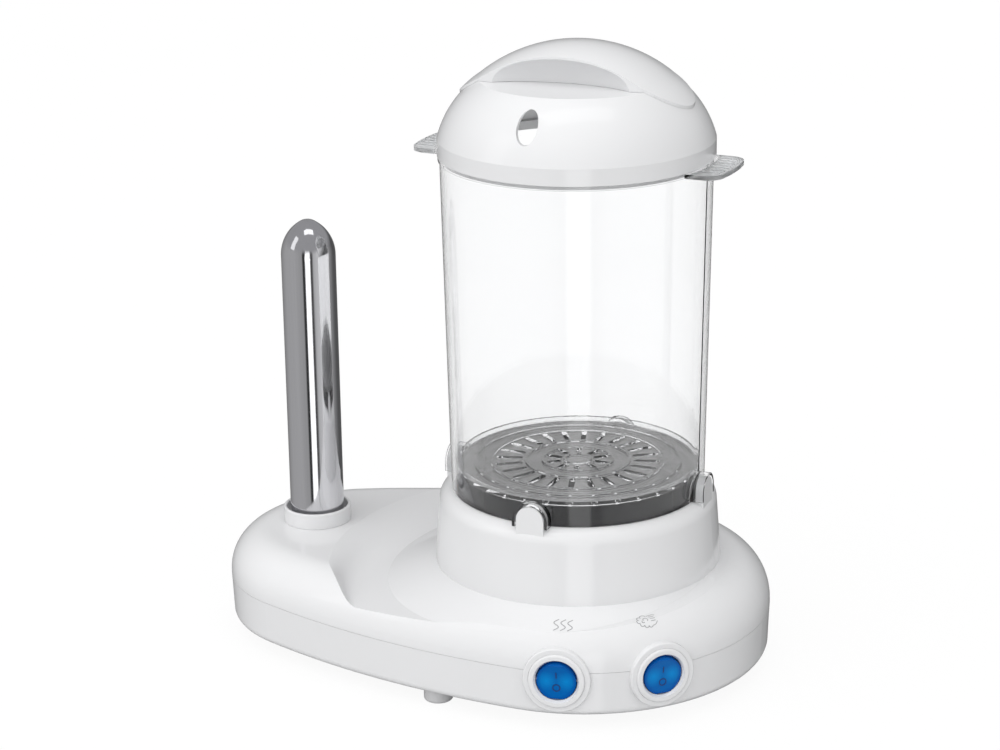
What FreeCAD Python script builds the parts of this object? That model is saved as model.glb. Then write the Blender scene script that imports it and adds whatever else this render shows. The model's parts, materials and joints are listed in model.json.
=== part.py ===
import FreeCAD, Part
import math
import os
import re

import Sketcher

# Hot dog toaster: a white egg-shaped base with a steam tower at its wide end and a heated
# toasting spike at its narrow end. Millimetres, +Z up, +X towards the tower, the two switches
# face -Y. The origin lies on the table, under the middle of the whole object.

V = FreeCAD.Vector
Z_AXIS = V(0, 0, 1)
BANK_STEPS = 8

SIZES = {
    # base outline: two end arcs joined by two long side arcs
    "base_length": 316, "tower_end_r": 104, "spike_end_r": 75.5, "side_r": 450,
    "tower_inset": 107.4, "spike_inset": 47.9, "wall": 2.5,
    # lower pan and upper dome
    "pan_z": 8, "pan_tuck": 0.8, "pan_round": 4.5, "parting_z": 33.6, "parting_gap": 0.2,
    "wall_rise": 1.9, "dome_run": 22.5, "dome_rise": 25, "top_fall": 0.5,
    # sunken valley between spike and tower, its floor tilted down to the front left, and the
    # slope that runs into it from the foot of the collar
    "valley_dx": 2, "valley_dy": -45, "valley_spread": 28.5, "lip_dx": 7.4, "lip_dy": 45,
    "lip_spread": 42, "lip_over": 0.35, "valley_depth": 5.35, "valley_tilt": 4.37,
    "skirt_spread": 11.5, "skirt_dx": -13, "skirt_dy": -13, "skirt_bury": 2,
    # collar under the vessel, with its four fingers
    "collar_rise": 41.5, "collar_round": 8.5, "collar_taper": 2.5, "mouth_gap": 1.5,
    "lug_width": 15.5, "lug_rise": 12, "lug_gap": 1, "lug_thick": 4.4, "lug_cover": 1.7,
    # switches, on the tower end of the wall
    "switch_z": 29.4, "switch_turn": 11.8, "switch_turn_step": 31.3, "eye_r": 18.2,
    "eye_proud": 1.4, "eye_edge": 0.8, "eye_sunk": 9, "bezel_r": 15.2, "bezel_thick": 2.6,
    "bezel_edge": 1.2, "bezel_funnel": 1.6, "rocker_r": 10.6, "rocker_gap": 0.7,
    "barrel_wall": 1.3, "barrel_depth": 17, "rocker_lean": 7, "pivot_depth": 1.6, "pin_r": 1.1,
    # toasting spike, with a slightly thinner neck where the ring sits around it
    "spike_r": 15.4, "spike_wall": 1.4, "spike_rise": 177.5, "tip_length": 20,
    "spike_seat_drop": 11.5, "neck_step": 0.2, "ring_r": 19.4, "ring_rise": 9, "ring_wall": 1.8,
    "flange_r": 24, "flange_thick": 1.6,
    # dish, seal and heater under the vessel, held to the collar's height
    "dish_r": 66.5, "dish_wall": 1.2, "dish_rim_rise": 11, "dish_floor_drop": 11,
    "dish_flange_drop": 7, "dish_lip": 2.7, "stud_r": 2, "stud_length": 13,
    "element_inset": 26.5, "element_tube_r": 3.3, "plate_thick": 1.5,
    # clear vessel and tray
    "vessel_gap": 1.4, "vessel_wall": 2, "vessel_flare": 3.4, "vessel_height": 187.1,
    "tab_length": 15.6, "tab_width": 46, "tab_thick": 2.4, "tab_corner": 9, "tab_turn": -3.5,
    "hood_wall": 1.6, "tray_lap": 0.4, "tray_thick": 2.2,
    # lid and its band handle
    "lid_lap": 1.2, "lid_rise": 58.8, "ledge_rise": 40.4, "lid_wall": 2.4, "rim_rise": 9,
    "dome_arc": 55, "dome_drop": 5.4, "band_half": 25, "band_inset": 9.8, "band_proud": 1.2,
    "plug_depth": 2.5,
    "vent_width": 11.5, "vent_height": 17, "vent_rise": 27.5,
    # feet, fasteners and small clearances
    "foot_r": 8, "foot_inset": 18, "boss_r": 4.2, "screw_r": 1.45, "head_r": 2.9,
    "seat_gap": 0.1, "lift_gap": 0.3, "screw_inset": 16, "screw_bite": 12.4, "head_sink": 7,
    "foot_stem_r": 3, "post_r": 3.2, "post_rise": 7, "clamp_boss_r": 3, "clamp_head_r": 1.9,
    "clamp_screw_r": 1.1, "bushing_z": 23, "bushing_bore": 3.4, "bushing_r": 6,
    "bushing_flange": 3.2, "bushing_flange_r": 9,
    "block_inset": 36.6, "block_pitch": 30, "block_half": 7, "block_height": 11,
    "block_pole_pitch": 8, "cord_clamp_pitch": 20, "cord_clamp_inset": 20, "lid_post_x": 26,
    "tab_wide": 4.8, "tab_thin": 0.8, "tab_out": 8, "contact_reach": 6.2,
    "blade_thick": 0.6, "blade_lean": 5, "face_rise": 3, "face_arc": 60, "rocker_skirt": 4,
    "rocker_wall": 2, "post_wall": 3, "post_length": 6, "plunger_r": 1.5, "plunger_out": 2,
    "lamp_x": 6.4, "lamp_r": 1.6, "lamp_rise": 4.5,
    "vent_slot_long": 44, "vent_slot_wide": 4, "vent_slot_pitch": 9, "lead_r": 1.1,
}

# Sizes that follow from the ones above, each written as a formula of other names.
DERIVED = {
    "tower_x": "base_length / 2 - tower_inset",
    "spike_x": "spike_inset - base_length / 2",
    "spike_pitch": "tower_x - spike_x",
    "arc_x": "base_length / 2 - tower_end_r",
    "tail_x": "spike_end_r - base_length / 2",
    "arc_span": "arc_x - tail_x",
    "near_r": "side_r - tower_end_r",
    "far_r": "side_r - spike_end_r",
    "side_dx": "(far_r ^ 2 - near_r ^ 2 - arc_span ^ 2) / (2 * arc_span)",
    "side_dy": "sqrt(near_r ^ 2 - side_dx ^ 2)",
    "shoulder_z": "parting_z + wall_rise",
    "dome_z": "shoulder_z + dome_rise",
    "collar_z": "dome_z + collar_rise",
    "lug_z": "collar_z + lug_rise",
    "head_seat_z": "pan_z + head_sink",
    "screw_top": "parting_z + screw_bite",
    "screw_hole_r": "screw_r + seat_gap / 2",
    "small_hole_r": "clamp_screw_r + seat_gap / 2",
    "block_z": "pan_z + post_rise",
    "block_x": "tower_x - block_inset",
    "block_y": "tower_end_r / 2",
    "block_wire_z": "block_z + post_rise",
    "cord_clamp_y": "tower_end_r - cord_clamp_inset",
    "barrel_r": "rocker_r + rocker_gap + barrel_wall",
    "spike_seat_z": "dome_z - spike_seat_drop",
    "spike_low": "spike_seat_z - flange_thick - seat_gap",
    "spike_top": "dome_z + spike_rise",
    "ring_z": "dome_z - spike_pitch * tan(top_fall * 1 deg)",
    "neck_top": "ring_z + ring_rise + flange_thick",
    "dish_rim_z": "collar_z + dish_rim_rise",
    "dish_floor_z": "collar_z - dish_floor_drop",
    "dish_floor_top": "dish_floor_z + dish_wall",
    "dish_flange_z": "collar_z - dish_flange_drop",
    "dish_flange_r": "dish_r + dish_lip",
    "mouth_r": "dish_r + mouth_gap",
    "seal_z": "dish_flange_z + dish_wall + seat_gap",
    "plate_top": "dish_flange_z - seat_gap",
    "clamp_screw_at": "dish_flange_r + lift_gap + clamp_boss_r",
    "element_r": "dish_r - element_inset",
    "element_z": "dish_floor_z - element_tube_r - seat_gap",
    "clamp_top": "dish_floor_z - 2 * element_tube_r - 2 * seat_gap",
    "vessel_foot_r": "dish_r + vessel_gap + vessel_wall",
    "vessel_top_r": "vessel_foot_r + vessel_flare",
    "vessel_z": "collar_z + lift_gap",
    "vessel_top_z": "vessel_z + vessel_height",
    "tray_r": "dish_r + tray_lap",
    "tray_z": "dish_rim_z + lift_gap",
    "lug_in_r": "vessel_foot_r + lug_gap",
    "lug_out_r": "lug_in_r + lug_thick",
    "collar_top_r": "lug_out_r + lug_cover",
    "collar_foot_r": "collar_top_r + collar_taper",
    "skirt_r": "collar_foot_r + skirt_spread",
    "valley_r": "collar_foot_r + valley_spread",
    "lid_r": "vessel_top_r + lid_lap",
    "lid_z": "vessel_top_z + seat_gap",
    "plug_r": "vessel_top_r - vessel_wall - 1.5 * lift_gap",
    "tab_reach": "lid_r + tab_length",
    "band_reach": "lid_r - band_inset",
    "dome_in": "sqrt(dome_arc ^ 2 - (rim_rise + dome_drop) ^ 2)",
    "ledge_r": "lid_r - dome_in + sqrt(dome_arc ^ 2 - (ledge_rise + dome_drop) ^ 2)",
    "crown_arc": "(ledge_r ^ 2 + (lid_rise - ledge_rise) ^ 2) / (2 * (lid_rise - ledge_rise))",
}

doc = FreeCAD.newDocument("HotDogToaster")
sheet = doc.addObject("Spreadsheet::Sheet", "Sizes")
for row, (alias, number) in enumerate(SIZES.items(), start=1):
    sheet.set(f"A{row}", alias)
    sheet.set(f"B{row}", str(number))
    sheet.setAlias(f"B{row}", alias)
doc.recompute()

probe = doc.addObject("App::FeaturePython", "Probe")


def bound(text):
    """Rewrites a formula of size names as an expression on the sheet's cells."""
    def swap(match):
        word = match.group()
        if word in DERIVED:
            return "(" + bound(DERIVED[word]) + ")"
        return "Sizes." + word if word in SIZES else word
    return re.sub(r"[a-z][a-z_0-9]*", swap, str(text))


def size(text):
    """The number that a formula of size names comes to."""
    return float(probe.evalExpression(bound(text)))


def spot(x=0, y=0, z=0, turn=0):
    """A placement at a point given by formulas, turned about the vertical."""
    return FreeCAD.Placement(V(size(x), size(y), size(z)), FreeCAD.Rotation(Z_AXIS, turn))


def plane_of(body, role):
    return [item for item in body.Origin.OriginFeatures if item.Role == role][0]


def new_body(name, place=None):
    body = doc.addObject("PartDesign::Body", name)
    body.Label = name
    if place is not None:
        body.Placement = place
    return body


def new_sketch(body, role="XY_Plane", lift=0, lean=None):
    """A sketch on one of the body's own planes, lifted along its normal and leaned about Y."""
    sketch = body.newObject("Sketcher::SketchObject", body.Name + "_sketch")
    sketch.AttachmentSupport = [(plane_of(body, role), "")]
    sketch.MapMode = "FlatFace"
    if lean is not None:
        sketch.AttachmentOffset = FreeCAD.Placement(V(), FreeCAD.Rotation(V(0, 1, 0), -size(lean)))
    sketch.setExpression("AttachmentOffset.Base.z", bound(lift))
    return sketch


def pin_point(sketch, geometry, end, x, y):
    """Holds one end of a line or arc at a point given by two formulas."""
    for kind, formula in (("DistanceX", x), ("DistanceY", y)):
        number = size(formula)
        index = sketch.addConstraint(Sketcher.Constraint(kind, -1, 1, geometry, end, number))
        sketch.setExpression(f"Constraints[{index}]", bound(formula))


def arc_geometry(start, end, radius, side):
    """A circular arc between two points, its centre on the left (+1) or right (-1) of the way."""
    chord = end - start
    half = chord.Length / 2
    rise = math.sqrt(max(radius ** 2 - half ** 2, 0))
    normal = V(-chord.y, chord.x, 0).normalize()
    centre = (start + end) * 0.5 + normal * rise * side
    first, last = (start, end) if side > 0 else (end, start)
    angles = [math.atan2(point.y - centre.y, point.x - centre.x) for point in (first, last)]
    if angles[1] < angles[0]:
        angles[1] += 2 * math.pi
    return Part.ArcOfCircle(Part.Circle(centre, Z_AXIS, radius), angles[0], angles[1])


def draw(sketch, steps):
    """Draws a closed outline. A step is (x, y) for a line to that point, or (x, y, radius, side)
    for an arc to it."""
    points = [V(size(step[0]), size(step[1]), 0) for step in steps]
    ends = []
    for index, step in enumerate(steps):
        start, end = points[index - 1], points[index]
        if len(step) == 2:
            geometry = sketch.addGeometry(Part.LineSegment(start, end), False)
            ends.append((geometry, 1, 2))
            continue
        arc = arc_geometry(start, end, size(step[2]), step[3])
        geometry = sketch.addGeometry(arc, False)
        ends.append((geometry, 1, 2) if step[3] > 0 else (geometry, 2, 1))
        held = sketch.addConstraint(Sketcher.Constraint("Radius", geometry, arc.Radius))
        sketch.setExpression(f"Constraints[{held}]", bound(step[2]))
    for index, (geometry, first, last) in enumerate(ends):
        following = ends[(index + 1) % len(ends)]
        sketch.addConstraint(Sketcher.Constraint("Coincident", geometry, last, *following[:2]))
        pin_point(sketch, geometry, last, steps[index][0], steps[index][1])


def draw_circle(sketch, radius, x="0", y="0"):
    centre = V(size(x), size(y), 0)
    geometry = sketch.addGeometry(Part.Circle(centre, Z_AXIS, size(radius)), False)
    pin_point(sketch, geometry, 3, x, y)
    held = sketch.addConstraint(Sketcher.Constraint("Radius", geometry, size(radius)))
    sketch.setExpression(f"Constraints[{held}]", bound(radius))


def feature(body, kind, sketch, **values):
    made = body.newObject("PartDesign::" + kind, body.Name + "_" + kind.lower())
    made.Profile = sketch
    for key, given in values.items():
        if isinstance(given, str) and key in ("Length", "Length2", "Angle"):
            made.setExpression(key, bound(given))
        else:
            setattr(made, key, given)
    return made


def turned(name, steps, place=None, angle=360):
    """A body turned about its own Z axis from a half section drawn in X and Z."""
    body = new_body(name, place)
    sketch = new_sketch(body, "XZ_Plane")
    draw(sketch, steps)
    feature(body, "Revolution", sketch, ReferenceAxis=(sketch, ["V_Axis"]), Angle=angle)
    return body


def padded(name, outlines, height, place=None, lift=0, role="XY_Plane"):
    """A body padded from closed outlines, the first one outside and the others holes."""
    body = new_body(name, place)
    sketch = new_sketch(body, role, lift)
    for outline in outlines:
        if isinstance(outline, tuple):
            draw_circle(sketch, *outline)
        else:
            draw(sketch, outline)
    feature(body, "Pad", sketch, Length=height)
    return body


def rod(name, radius, height, x=0, y=0, z=0, turn=None):
    """A plain round rod, upright unless turned."""
    made = doc.addObject("Part::Cylinder", name)
    made.setExpression("Radius", bound(radius))
    made.setExpression("Height", bound(height))
    made.Placement = FreeCAD.Placement(V(size(x), size(y), size(z)), turn or FreeCAD.Rotation())
    return made


def joined(name, pieces):
    made = doc.addObject("Part::MultiFuse", name)
    made.Label = name
    made.Shapes = pieces
    made.Refine = False
    return made


def cut(name, base, tool):
    made = doc.addObject("Part::Cut", name)
    made.Label = name
    made.Base = base
    made.Tool = tool
    made.Refine = False
    return made


def shared(name, first, second):
    made = doc.addObject("Part::MultiCommon", name)
    made.Label = name
    made.Shapes = [first, second]
    made.Refine = False
    return made


def grouped(name, pieces):
    made = doc.addObject("Part::Compound", name)
    made.Label = name
    made.Links = pieces
    return made


def slab(half_x, half_y, x="0", y="0"):
    """The outline of a rectangle about a point, for draw()."""
    left, right = f"{x} - ({half_x})", f"{x} + ({half_x})"
    low, high = f"{y} - ({half_y})", f"{y} + ({half_y})"
    return [(left, low), (right, low), (right, high), (left, high)]


def stadium(half_length, radius, x="0", y="0"):
    """A long outline with round ends, each end two quarter arcs."""
    flat = f"({half_length}) - ({radius})"
    low, high = f"{y} - ({radius})", f"{y} + ({radius})"
    return [
        (f"{x} + ({flat})", low), (f"{x} + ({half_length})", y, radius, 1),
        (f"{x} + ({flat})", high, radius, 1), (f"{x} - ({flat})", high),
        (f"{x} - ({half_length})", y, radius, 1), (f"{x} - ({flat})", low, radius, 1),
    ]


nodes = []


def keep(made):
    """Counts an object among the finished pieces, which are checked and written at the end."""
    nodes.append(made)
    return made


# ---- base: outline and the two shells --------------------------------------------------------

def egg(inset="0"):
    """The base outline, moved inwards by inset: four tangent arcs, the wide end split in two."""
    wide, narrow = f"(tower_end_r - ({inset}))", f"(spike_end_r - ({inset}))"
    long_side = f"side_r - ({inset})"
    wide_x, wide_y = f"arc_x - side_dx / near_r * {wide}", f"side_dy / near_r * {wide}"
    narrow_x = f"tail_x - (arc_span + side_dx) / far_r * {narrow}"
    narrow_y = f"side_dy / far_r * {narrow}"
    return [
        (wide_x, f"-({wide_y})", long_side, 1), (f"arc_x + {wide}", "0", wide, 1),
        (wide_x, wide_y, wide, 1), (narrow_x, narrow_y, long_side, 1),
        (narrow_x, f"-({narrow_y})", narrow, 1),
    ]


def lofted(name, sections, ruled=False, body=None):
    """A body lofted through egg outlines. A section is (inset, height, lean)."""
    body = body or new_body(name)
    sketches = []
    for inset, height, lean in sections:
        sketch = new_sketch(body, lift=height, lean=lean)
        draw(sketch, egg(inset))
        sketches.append(sketch)
    loft = body.newObject("PartDesign::AdditiveLoft", name + "_loft")
    loft.Profile = sketches[0]
    loft.Sections = sketches[1:]
    loft.Ruled = ruled
    return body


def dome_form(name, inset, drop, start):
    """The dome over the parting line: an upright wall, then a quarter-ellipse shoulder up to a
    top that falls gently towards the spike."""
    body = new_body(name)
    sketch = new_sketch(body, lift=start)
    draw(sketch, egg(inset))
    feature(body, "Pad", sketch, Length=f"shoulder_z - ({start})")
    levels = []
    for angle in range(0, 91, 15):
        climb = f"sin({angle} deg)"
        levels.append((
            f"{inset} + dome_run * (1 - cos({angle} deg))",
            f"shoulder_z + (dome_rise - {drop}) * {climb} - tower_x * tan(top_fall * 1 deg) * {climb}",
            f"top_fall * {climb}",
        ))
    return lofted(name, levels, body=body)


def pan_form(name, inset, low, high):
    """The pan under the parting line, drawn in towards its underside and rounded there."""
    body = new_body(name)
    drawn_in, radius = f"pan_tuck + {inset}", f"(pan_round - {inset})"
    lofted(name, [(drawn_in, f"{low} + {radius}", None), (inset, high, None)], ruled=True, body=body)
    lofted(name, [
        (f"{drawn_in} + {radius} * (1 - cos({angle} deg))",
         f"{low} + {radius} * (1 - sin({angle} deg))", None) for angle in range(0, 91, 30)
    ], body=body)
    return body


def valley_height(x, y):
    """Height of the valley floor's plane at a point given in the tower's frame."""
    slope = math.tan(math.radians(size("valley_tilt"))) / math.sqrt(2)
    run = (x - size("valley_dx")) + (y - size("valley_dy"))
    return size("dome_z - valley_depth") + slope * run


def ring_wire(x, y, z, radius, slope_x, slope_y):
    """A circle in the plane that rises by the given slopes along X and Y."""
    circle = Part.makeCircle(radius)
    turn = FreeCAD.Rotation(Z_AXIS, V(-slope_x, -slope_y, 1))
    circle.Placement = FreeCAD.Placement(V(x, y, z), turn)
    return Part.Wire([circle])


def valley_tool(name, grow, sink):
    """What is scooped out of the dome: a flat floor and a bank that climbs in an S to its lip.
    The bank runs through rings that turn step by step from the floor's circle into the lip's."""
    tilt = math.tan(math.radians(size("valley_tilt"))) / math.sqrt(2)
    fall = math.tan(math.radians(size("top_fall")))
    rings = []
    for step in range(BANK_STEPS + 1):
        share = step / BANK_STEPS
        climb = 2 * share ** 2 if share < 0.5 else 1 - 2 * (1 - share) ** 2
        x = size(f"valley_dx + lip_dx * {share}")
        y = size(f"valley_dy + lip_dy * {share}")
        top = size("dome_z + lip_over") + fall * x
        height = valley_height(x, y) * (1 - climb) + top * climb - sink
        radius = size(f"valley_r + lip_spread * {share}") + grow
        rings.append(ring_wire(x, y, height, radius, tilt * (1 - climb) + fall * climb,
                               tilt * (1 - climb)))
    made = doc.addObject("Part::Feature", name)
    made.Shape = Part.makeLoft(rings, True, False)
    made.Placement = spot("tower_x")
    return made


def skirt_form():
    """The slope from the collar's foot down to the valley floor, between two circles. It starts
    inside the collar's wall and ends under the floor, so that both run through it."""
    bury = size("skirt_bury")
    fall = math.tan(math.radians(size("top_fall")))
    slope = math.tan(math.radians(size("valley_tilt"))) / math.sqrt(2)
    x, y = size("skirt_dx"), size("skirt_dy")
    top = ring_wire(0, 0, size("dome_z") + bury / 2, size("collar_foot_r") - bury, fall, 0)
    low = ring_wire(x, y, valley_height(x, y) - bury / 2, size("skirt_r") + bury, slope, slope)
    made = doc.addObject("Part::Feature", "skirt_form")
    made.Shape = Part.makeLoft([low, top], True, True)
    made.Placement = spot("tower_x")
    return made


def arch(width, top, low):
    """A finger with a half-round top, for draw(): X across, Y up."""
    half = f"({width}) / 2"
    return [
        (half, low), (half, f"{top} - {half}", ), ("0", top, half, 1),
        (f"-{half}", f"{top} - {half}", half, 1), (f"-{half}", low),
    ]


def collar_forms():
    """The collar's outside with its four fingers, and the hollow inside it."""
    outside = turned("collar_form", [
        ("0", "shoulder_z"), ("collar_foot_r", "shoulder_z"), ("collar_foot_r", "dome_z"),
        ("collar_top_r", "collar_z - collar_round"),
        ("collar_top_r - collar_round", "collar_z", "collar_round", 1), ("0", "collar_z"),
    ], spot("tower_x"))
    fingers = new_sketch(outside, "XZ_Plane", lift="lug_in_r")
    draw(fingers, arch("lug_width", "lug_z", "collar_z - collar_round - wall"))
    feature(outside, "Pad", fingers, Length="lug_thick")
    doc.recompute()
    around = outside.newObject("PartDesign::PolarPattern", "collar_form_pattern")
    around.Originals = [outside.Tip]
    around.Axis = (outside.Origin.OriginFeatures[2], [""])
    around.Angle = 360
    around.Occurrences = 4
    outside.Tip = around
    inside = turned("collar_hollow", [
        ("0", "parting_z"), ("collar_foot_r - wall", "parting_z"),
        ("collar_foot_r - wall", "dome_z"), ("collar_top_r - wall", "collar_z - collar_round"),
        ("collar_top_r - wall", "collar_z - wall"), ("mouth_r", "collar_z - wall"),
        ("mouth_r", "collar_z + wall"), ("0", "collar_z + wall"),
    ], spot("tower_x"))
    return outside, inside


def at_wall(turn, radius, z):
    """A placement on the wide end's wall: local Z points outwards and local Y up."""
    angle = math.radians(turn)
    out = V(math.sin(angle), -math.cos(angle), 0)
    along = V(math.cos(angle), math.sin(angle), 0)
    frame = FreeCAD.Matrix(along.x, 0, out.x, 0, along.y, 0, out.y, 0, 0, 1, 0, 0, 0, 0, 0, 1)
    place = FreeCAD.Placement(frame)
    place.Base = V(size("arc_x"), 0, size(z)) + out * size(radius)
    return place


def wall_tool(name, steps, turn, radius, z):
    return turned(name, steps, at_wall(turn, radius, z))


SWITCH_TURNS = {"heat": size("switch_turn"), "steam": size("switch_turn + switch_turn_step")}



def on_end(centre, radius, inset, turn):
    """A place inside one of the base's end arcs, turned from the front towards the right."""
    reach = f"({radius} - {inset})"
    return f"{centre} + {reach} * sin({turn} deg)", f"0 - {reach} * cos({turn} deg)"


# Screw towers that hold the two shells together, three along each end arc.
TOWERS = [on_end("tail_x", "spike_end_r", "screw_inset", turn) for turn in (-90, -5, 185)] + [
    on_end("arc_x", "tower_end_r", "screw_inset", turn)
    for turn in (size("switch_turn + switch_turn_step / 2"), 90, 152)
]
SPIKE_SCREWS = [
    (f"spike_x + (spike_r + flange_r) / 2 * cos({turn} deg)",
     f"(spike_r + flange_r) / 2 * sin({turn} deg)") for turn in (90, 210, 330)
]
CLAMP_SCREWS = [
    (f"tower_x + clamp_screw_at * cos({turn} deg)", f"clamp_screw_at * sin({turn} deg)")
    for turn in (45, 135, 225, 315)
]
# Posts on the pan's floor: two for the terminal block and two for the cord clamp.
POSTS = [
    ("block_x - block_pitch / 2", "block_y"), ("block_x + block_pitch / 2", "block_y"),
    ("arc_x - cord_clamp_pitch / 2", "cord_clamp_y"),
    ("arc_x + cord_clamp_pitch / 2", "cord_clamp_y"),
]
side_foot_x = "arc_x - 0.391 * arc_span"
FEET = {
    "foot_front": (side_foot_x, "foot_inset - tower_end_r"),
    "foot_rear": (side_foot_x, "tower_end_r - foot_inset"),
    "foot_tower_end": on_end("arc_x", "tower_end_r", "(foot_inset + wall)", 99.5),
    "foot_spike_end": on_end("tail_x", "spike_end_r", "(foot_inset - wall)", -72.5),
}
dome = dome_form("dome_form", "0", "0", "parting_z + parting_gap / 2")
hollow = dome_form("dome_hollow", "wall", "wall", "parting_z - wall")
scoop = valley_tool("valley_tool", 0, 0)
under = valley_tool("valley_under", size("wall"), size("wall"))
collar_outside, collar_inside = collar_forms()
skirt = skirt_form()
top_form = joined("top_form", [
    cut("dome_scooped", dome, scoop), shared("skirt_trimmed", skirt, dome), collar_outside])
top_hollow = joined("top_hollow", [cut("hollow_scooped", hollow, under), collar_inside])
pan = pan_form("pan_form", "0", "pan_z", "parting_z - parting_gap / 2")
pan_hollow = pan_form("pan_hollow", "wall", "pan_z + wall", "parting_z + wall")


# ---- base: towers, seats and openings in the shells ------------------------------------------

def tower_rods(name, radius, low, high, places):
    rods = []
    for number, (x, y) in enumerate(places, start=1):
        rods.append(rod(f"{name}_{number}", radius, f"{high} - ({low})", x, y, low))
    return joined(name, rods)


def switch_parts(name, steps):
    """One turned tool or rib for each of the two switches."""
    return joined(name, [
        wall_tool(f"{name}_{label}", steps, turn, "tower_end_r", "switch_z")
        for label, turn in SWITCH_TURNS.items()
    ])


def ribs_inside(name, outside, pieces):
    """Ribs cut off where they would come through the outside of the shell."""
    return shared(name, outside, joined(name + "_whole", pieces))


eyes = switch_parts("switch_eyes", [
    ("0", "-eye_sunk"), ("eye_r", "-eye_sunk"), ("eye_r", "eye_proud - eye_edge"),
    ("eye_r - eye_edge", "eye_proud", "eye_edge", 1), ("0", "eye_proud"),
])
eye_holes = switch_parts("switch_holes", [
    ("0", "-tower_end_r / 4"), ("barrel_r + seat_gap", "-tower_end_r / 4"),
    ("barrel_r + seat_gap", "0"), ("bezel_r + seat_gap", "0"),
    ("bezel_r + seat_gap", "3 * wall"), ("0", "3 * wall"),
])
parting = doc.addObject("Part::Box", "over_parting")
parting.setExpression("Length", bound("2 * base_length"))
parting.setExpression("Width", bound("2 * base_length"))
parting.setExpression("Height", bound("base_length"))
parting.Placement = FreeCAD.Placement(
    V(-size("base_length"), -size("base_length"), size("parting_z")), FreeCAD.Rotation())
eyes_high = shared("eyes_high", eyes, parting)
eyes_low = cut("eyes_low", eyes, parting)

tower_ribs = tower_rods("upper_towers", "boss_r", "parting_z + parting_gap / 2", "dome_z", TOWERS)
tower_holes = tower_rods("upper_screw_holes", "screw_hole_r", "pan_z", "screw_top + wall",
                         TOWERS)
spike_seat = rod("spike_seat", "flange_r + 1", "dome_z - spike_seat_z", "spike_x", 0,
                 "spike_seat_z")
spike_hole = rod("spike_hole", "spike_r + seat_gap", "dome_z", "spike_x", 0, "shoulder_z / 2")
spike_holes = tower_rods("spike_screw_holes", "screw_hole_r", "shoulder_z",
                         "spike_seat_z + 4", SPIKE_SCREWS)
clamp_bosses = tower_rods("clamp_bosses", "clamp_boss_r", "dish_flange_z", "collar_z - wall / 2",
                          CLAMP_SCREWS)
clamp_holes = tower_rods("clamp_screw_holes", "small_hole_r", "shoulder_z",
                         "collar_z - wall", CLAMP_SCREWS)
upper_shell = cut("upper_shell", joined("top_with_eyes", [top_form, eyes_high]), top_hollow)
upper_ribs = ribs_inside("upper_ribs", top_form, [tower_ribs, spike_seat, clamp_bosses])
upper = keep(cut("upper_housing", joined("upper_solid", [upper_shell, upper_ribs]),
                 joined("upper_openings", [eye_holes, tower_holes, spike_hole, spike_holes,
                                           clamp_holes])))

lower_towers = tower_rods("lower_towers", "boss_r", "pan_z + wall / 2",
                          "parting_z - parting_gap / 2", TOWERS)
head_wells = tower_rods("head_wells", "head_r + 0.4", "0", "head_seat_z", TOWERS)
foot_holes = tower_rods("foot_holes", "foot_stem_r + seat_gap", "0", "pan_z + 2 * wall",
                        FEET.values())
post_ribs = tower_rods("floor_posts", "post_r", "pan_z + wall / 2", "block_z", POSTS)
post_holes = tower_rods("post_holes", "small_hole_r", "pan_z + wall", "parting_z",
                        POSTS)
bushing_hole = wall_tool("bushing_hole", [
    ("0", "-tower_end_r / 4"), ("bushing_r + seat_gap", "-tower_end_r / 4"),
    ("bushing_r + seat_gap", "3 * wall"), ("0", "3 * wall"),
], 180, "tower_end_r", "bushing_z")


def vent_slots():
    """Slots through the underside that let the warm housing breathe."""
    slots = padded("vent_slots", [
        stadium("vent_slot_long / 2", "vent_slot_wide / 2", "tower_x - 30",
                f"{step} * vent_slot_pitch") for step in (-2, -1, 0, 1, 2)
    ], "pan_z + 2 * wall")
    return slots


lower_shell = cut("lower_shell", joined("pan_with_eyes", [pan, eyes_low]), pan_hollow)
lower_ribs = ribs_inside("lower_ribs", pan, [lower_towers, post_ribs])
lower = keep(cut("lower_housing", joined("lower_solid", [lower_shell, lower_ribs]),
                 joined("lower_openings", [eye_holes, tower_holes, head_wells, foot_holes,
                                           post_holes, bushing_hole, vent_slots()])))


# ---- fasteners -------------------------------------------------------------------------------

def screws(name, places, seat, length, radius="screw_r", head="head_r", tip_up=True):
    """A group of like screws. Each bears on a seat height and runs from there up or down."""
    made = []
    way = 1 if tip_up else -1
    steps = [
        ("0", "0 - 0.7 * head_r"), (f"{head} - 0.5", "0 - 0.7 * head_r"),
        (head, "0.5 - 0.7 * head_r"), (head, "0"), (radius, "0"),
        (radius, f"{length} - {radius}"), ("0", length),
    ]
    for number, (x, y) in enumerate(places, start=1):
        screw = turned(f"{name}_{number}", steps)
        flip = FreeCAD.Rotation() if way > 0 else FreeCAD.Rotation(V(1, 0, 0), 180)
        screw.Placement = FreeCAD.Placement(V(size(x), size(y), size(seat)), flip)
        made.append(screw)
    return keep(grouped(name, made))


screws("housing_screws", TOWERS, "head_seat_z", "screw_top - head_seat_z")
screws("spike_screws", SPIKE_SCREWS, "spike_low", "spike_seat_z + 3.5 - spike_low")
screws("dish_screws", CLAMP_SCREWS, "plate_top - plate_thick", "3 * plate_thick",
       "clamp_screw_r", "clamp_head_r")

for foot, (foot_x, foot_y) in FEET.items():
    keep(turned(foot, [
        ("0", "0"), ("foot_r - 1.5", "0"), ("foot_r", "1.5", "1.5", 1),
        ("foot_r", "pan_z - seat_gap"), ("foot_stem_r", "pan_z - seat_gap"),
        ("foot_stem_r", "pan_z + wall + seat_gap"), ("foot_stem_r + 0.9", "pan_z + wall + seat_gap"),
        ("foot_stem_r - 0.6", "pan_z + wall + 3.4"), ("0", "pan_z + wall + 3.4"),
    ], spot(foot_x, foot_y)))


# ---- toasting spike --------------------------------------------------------------------------

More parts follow.
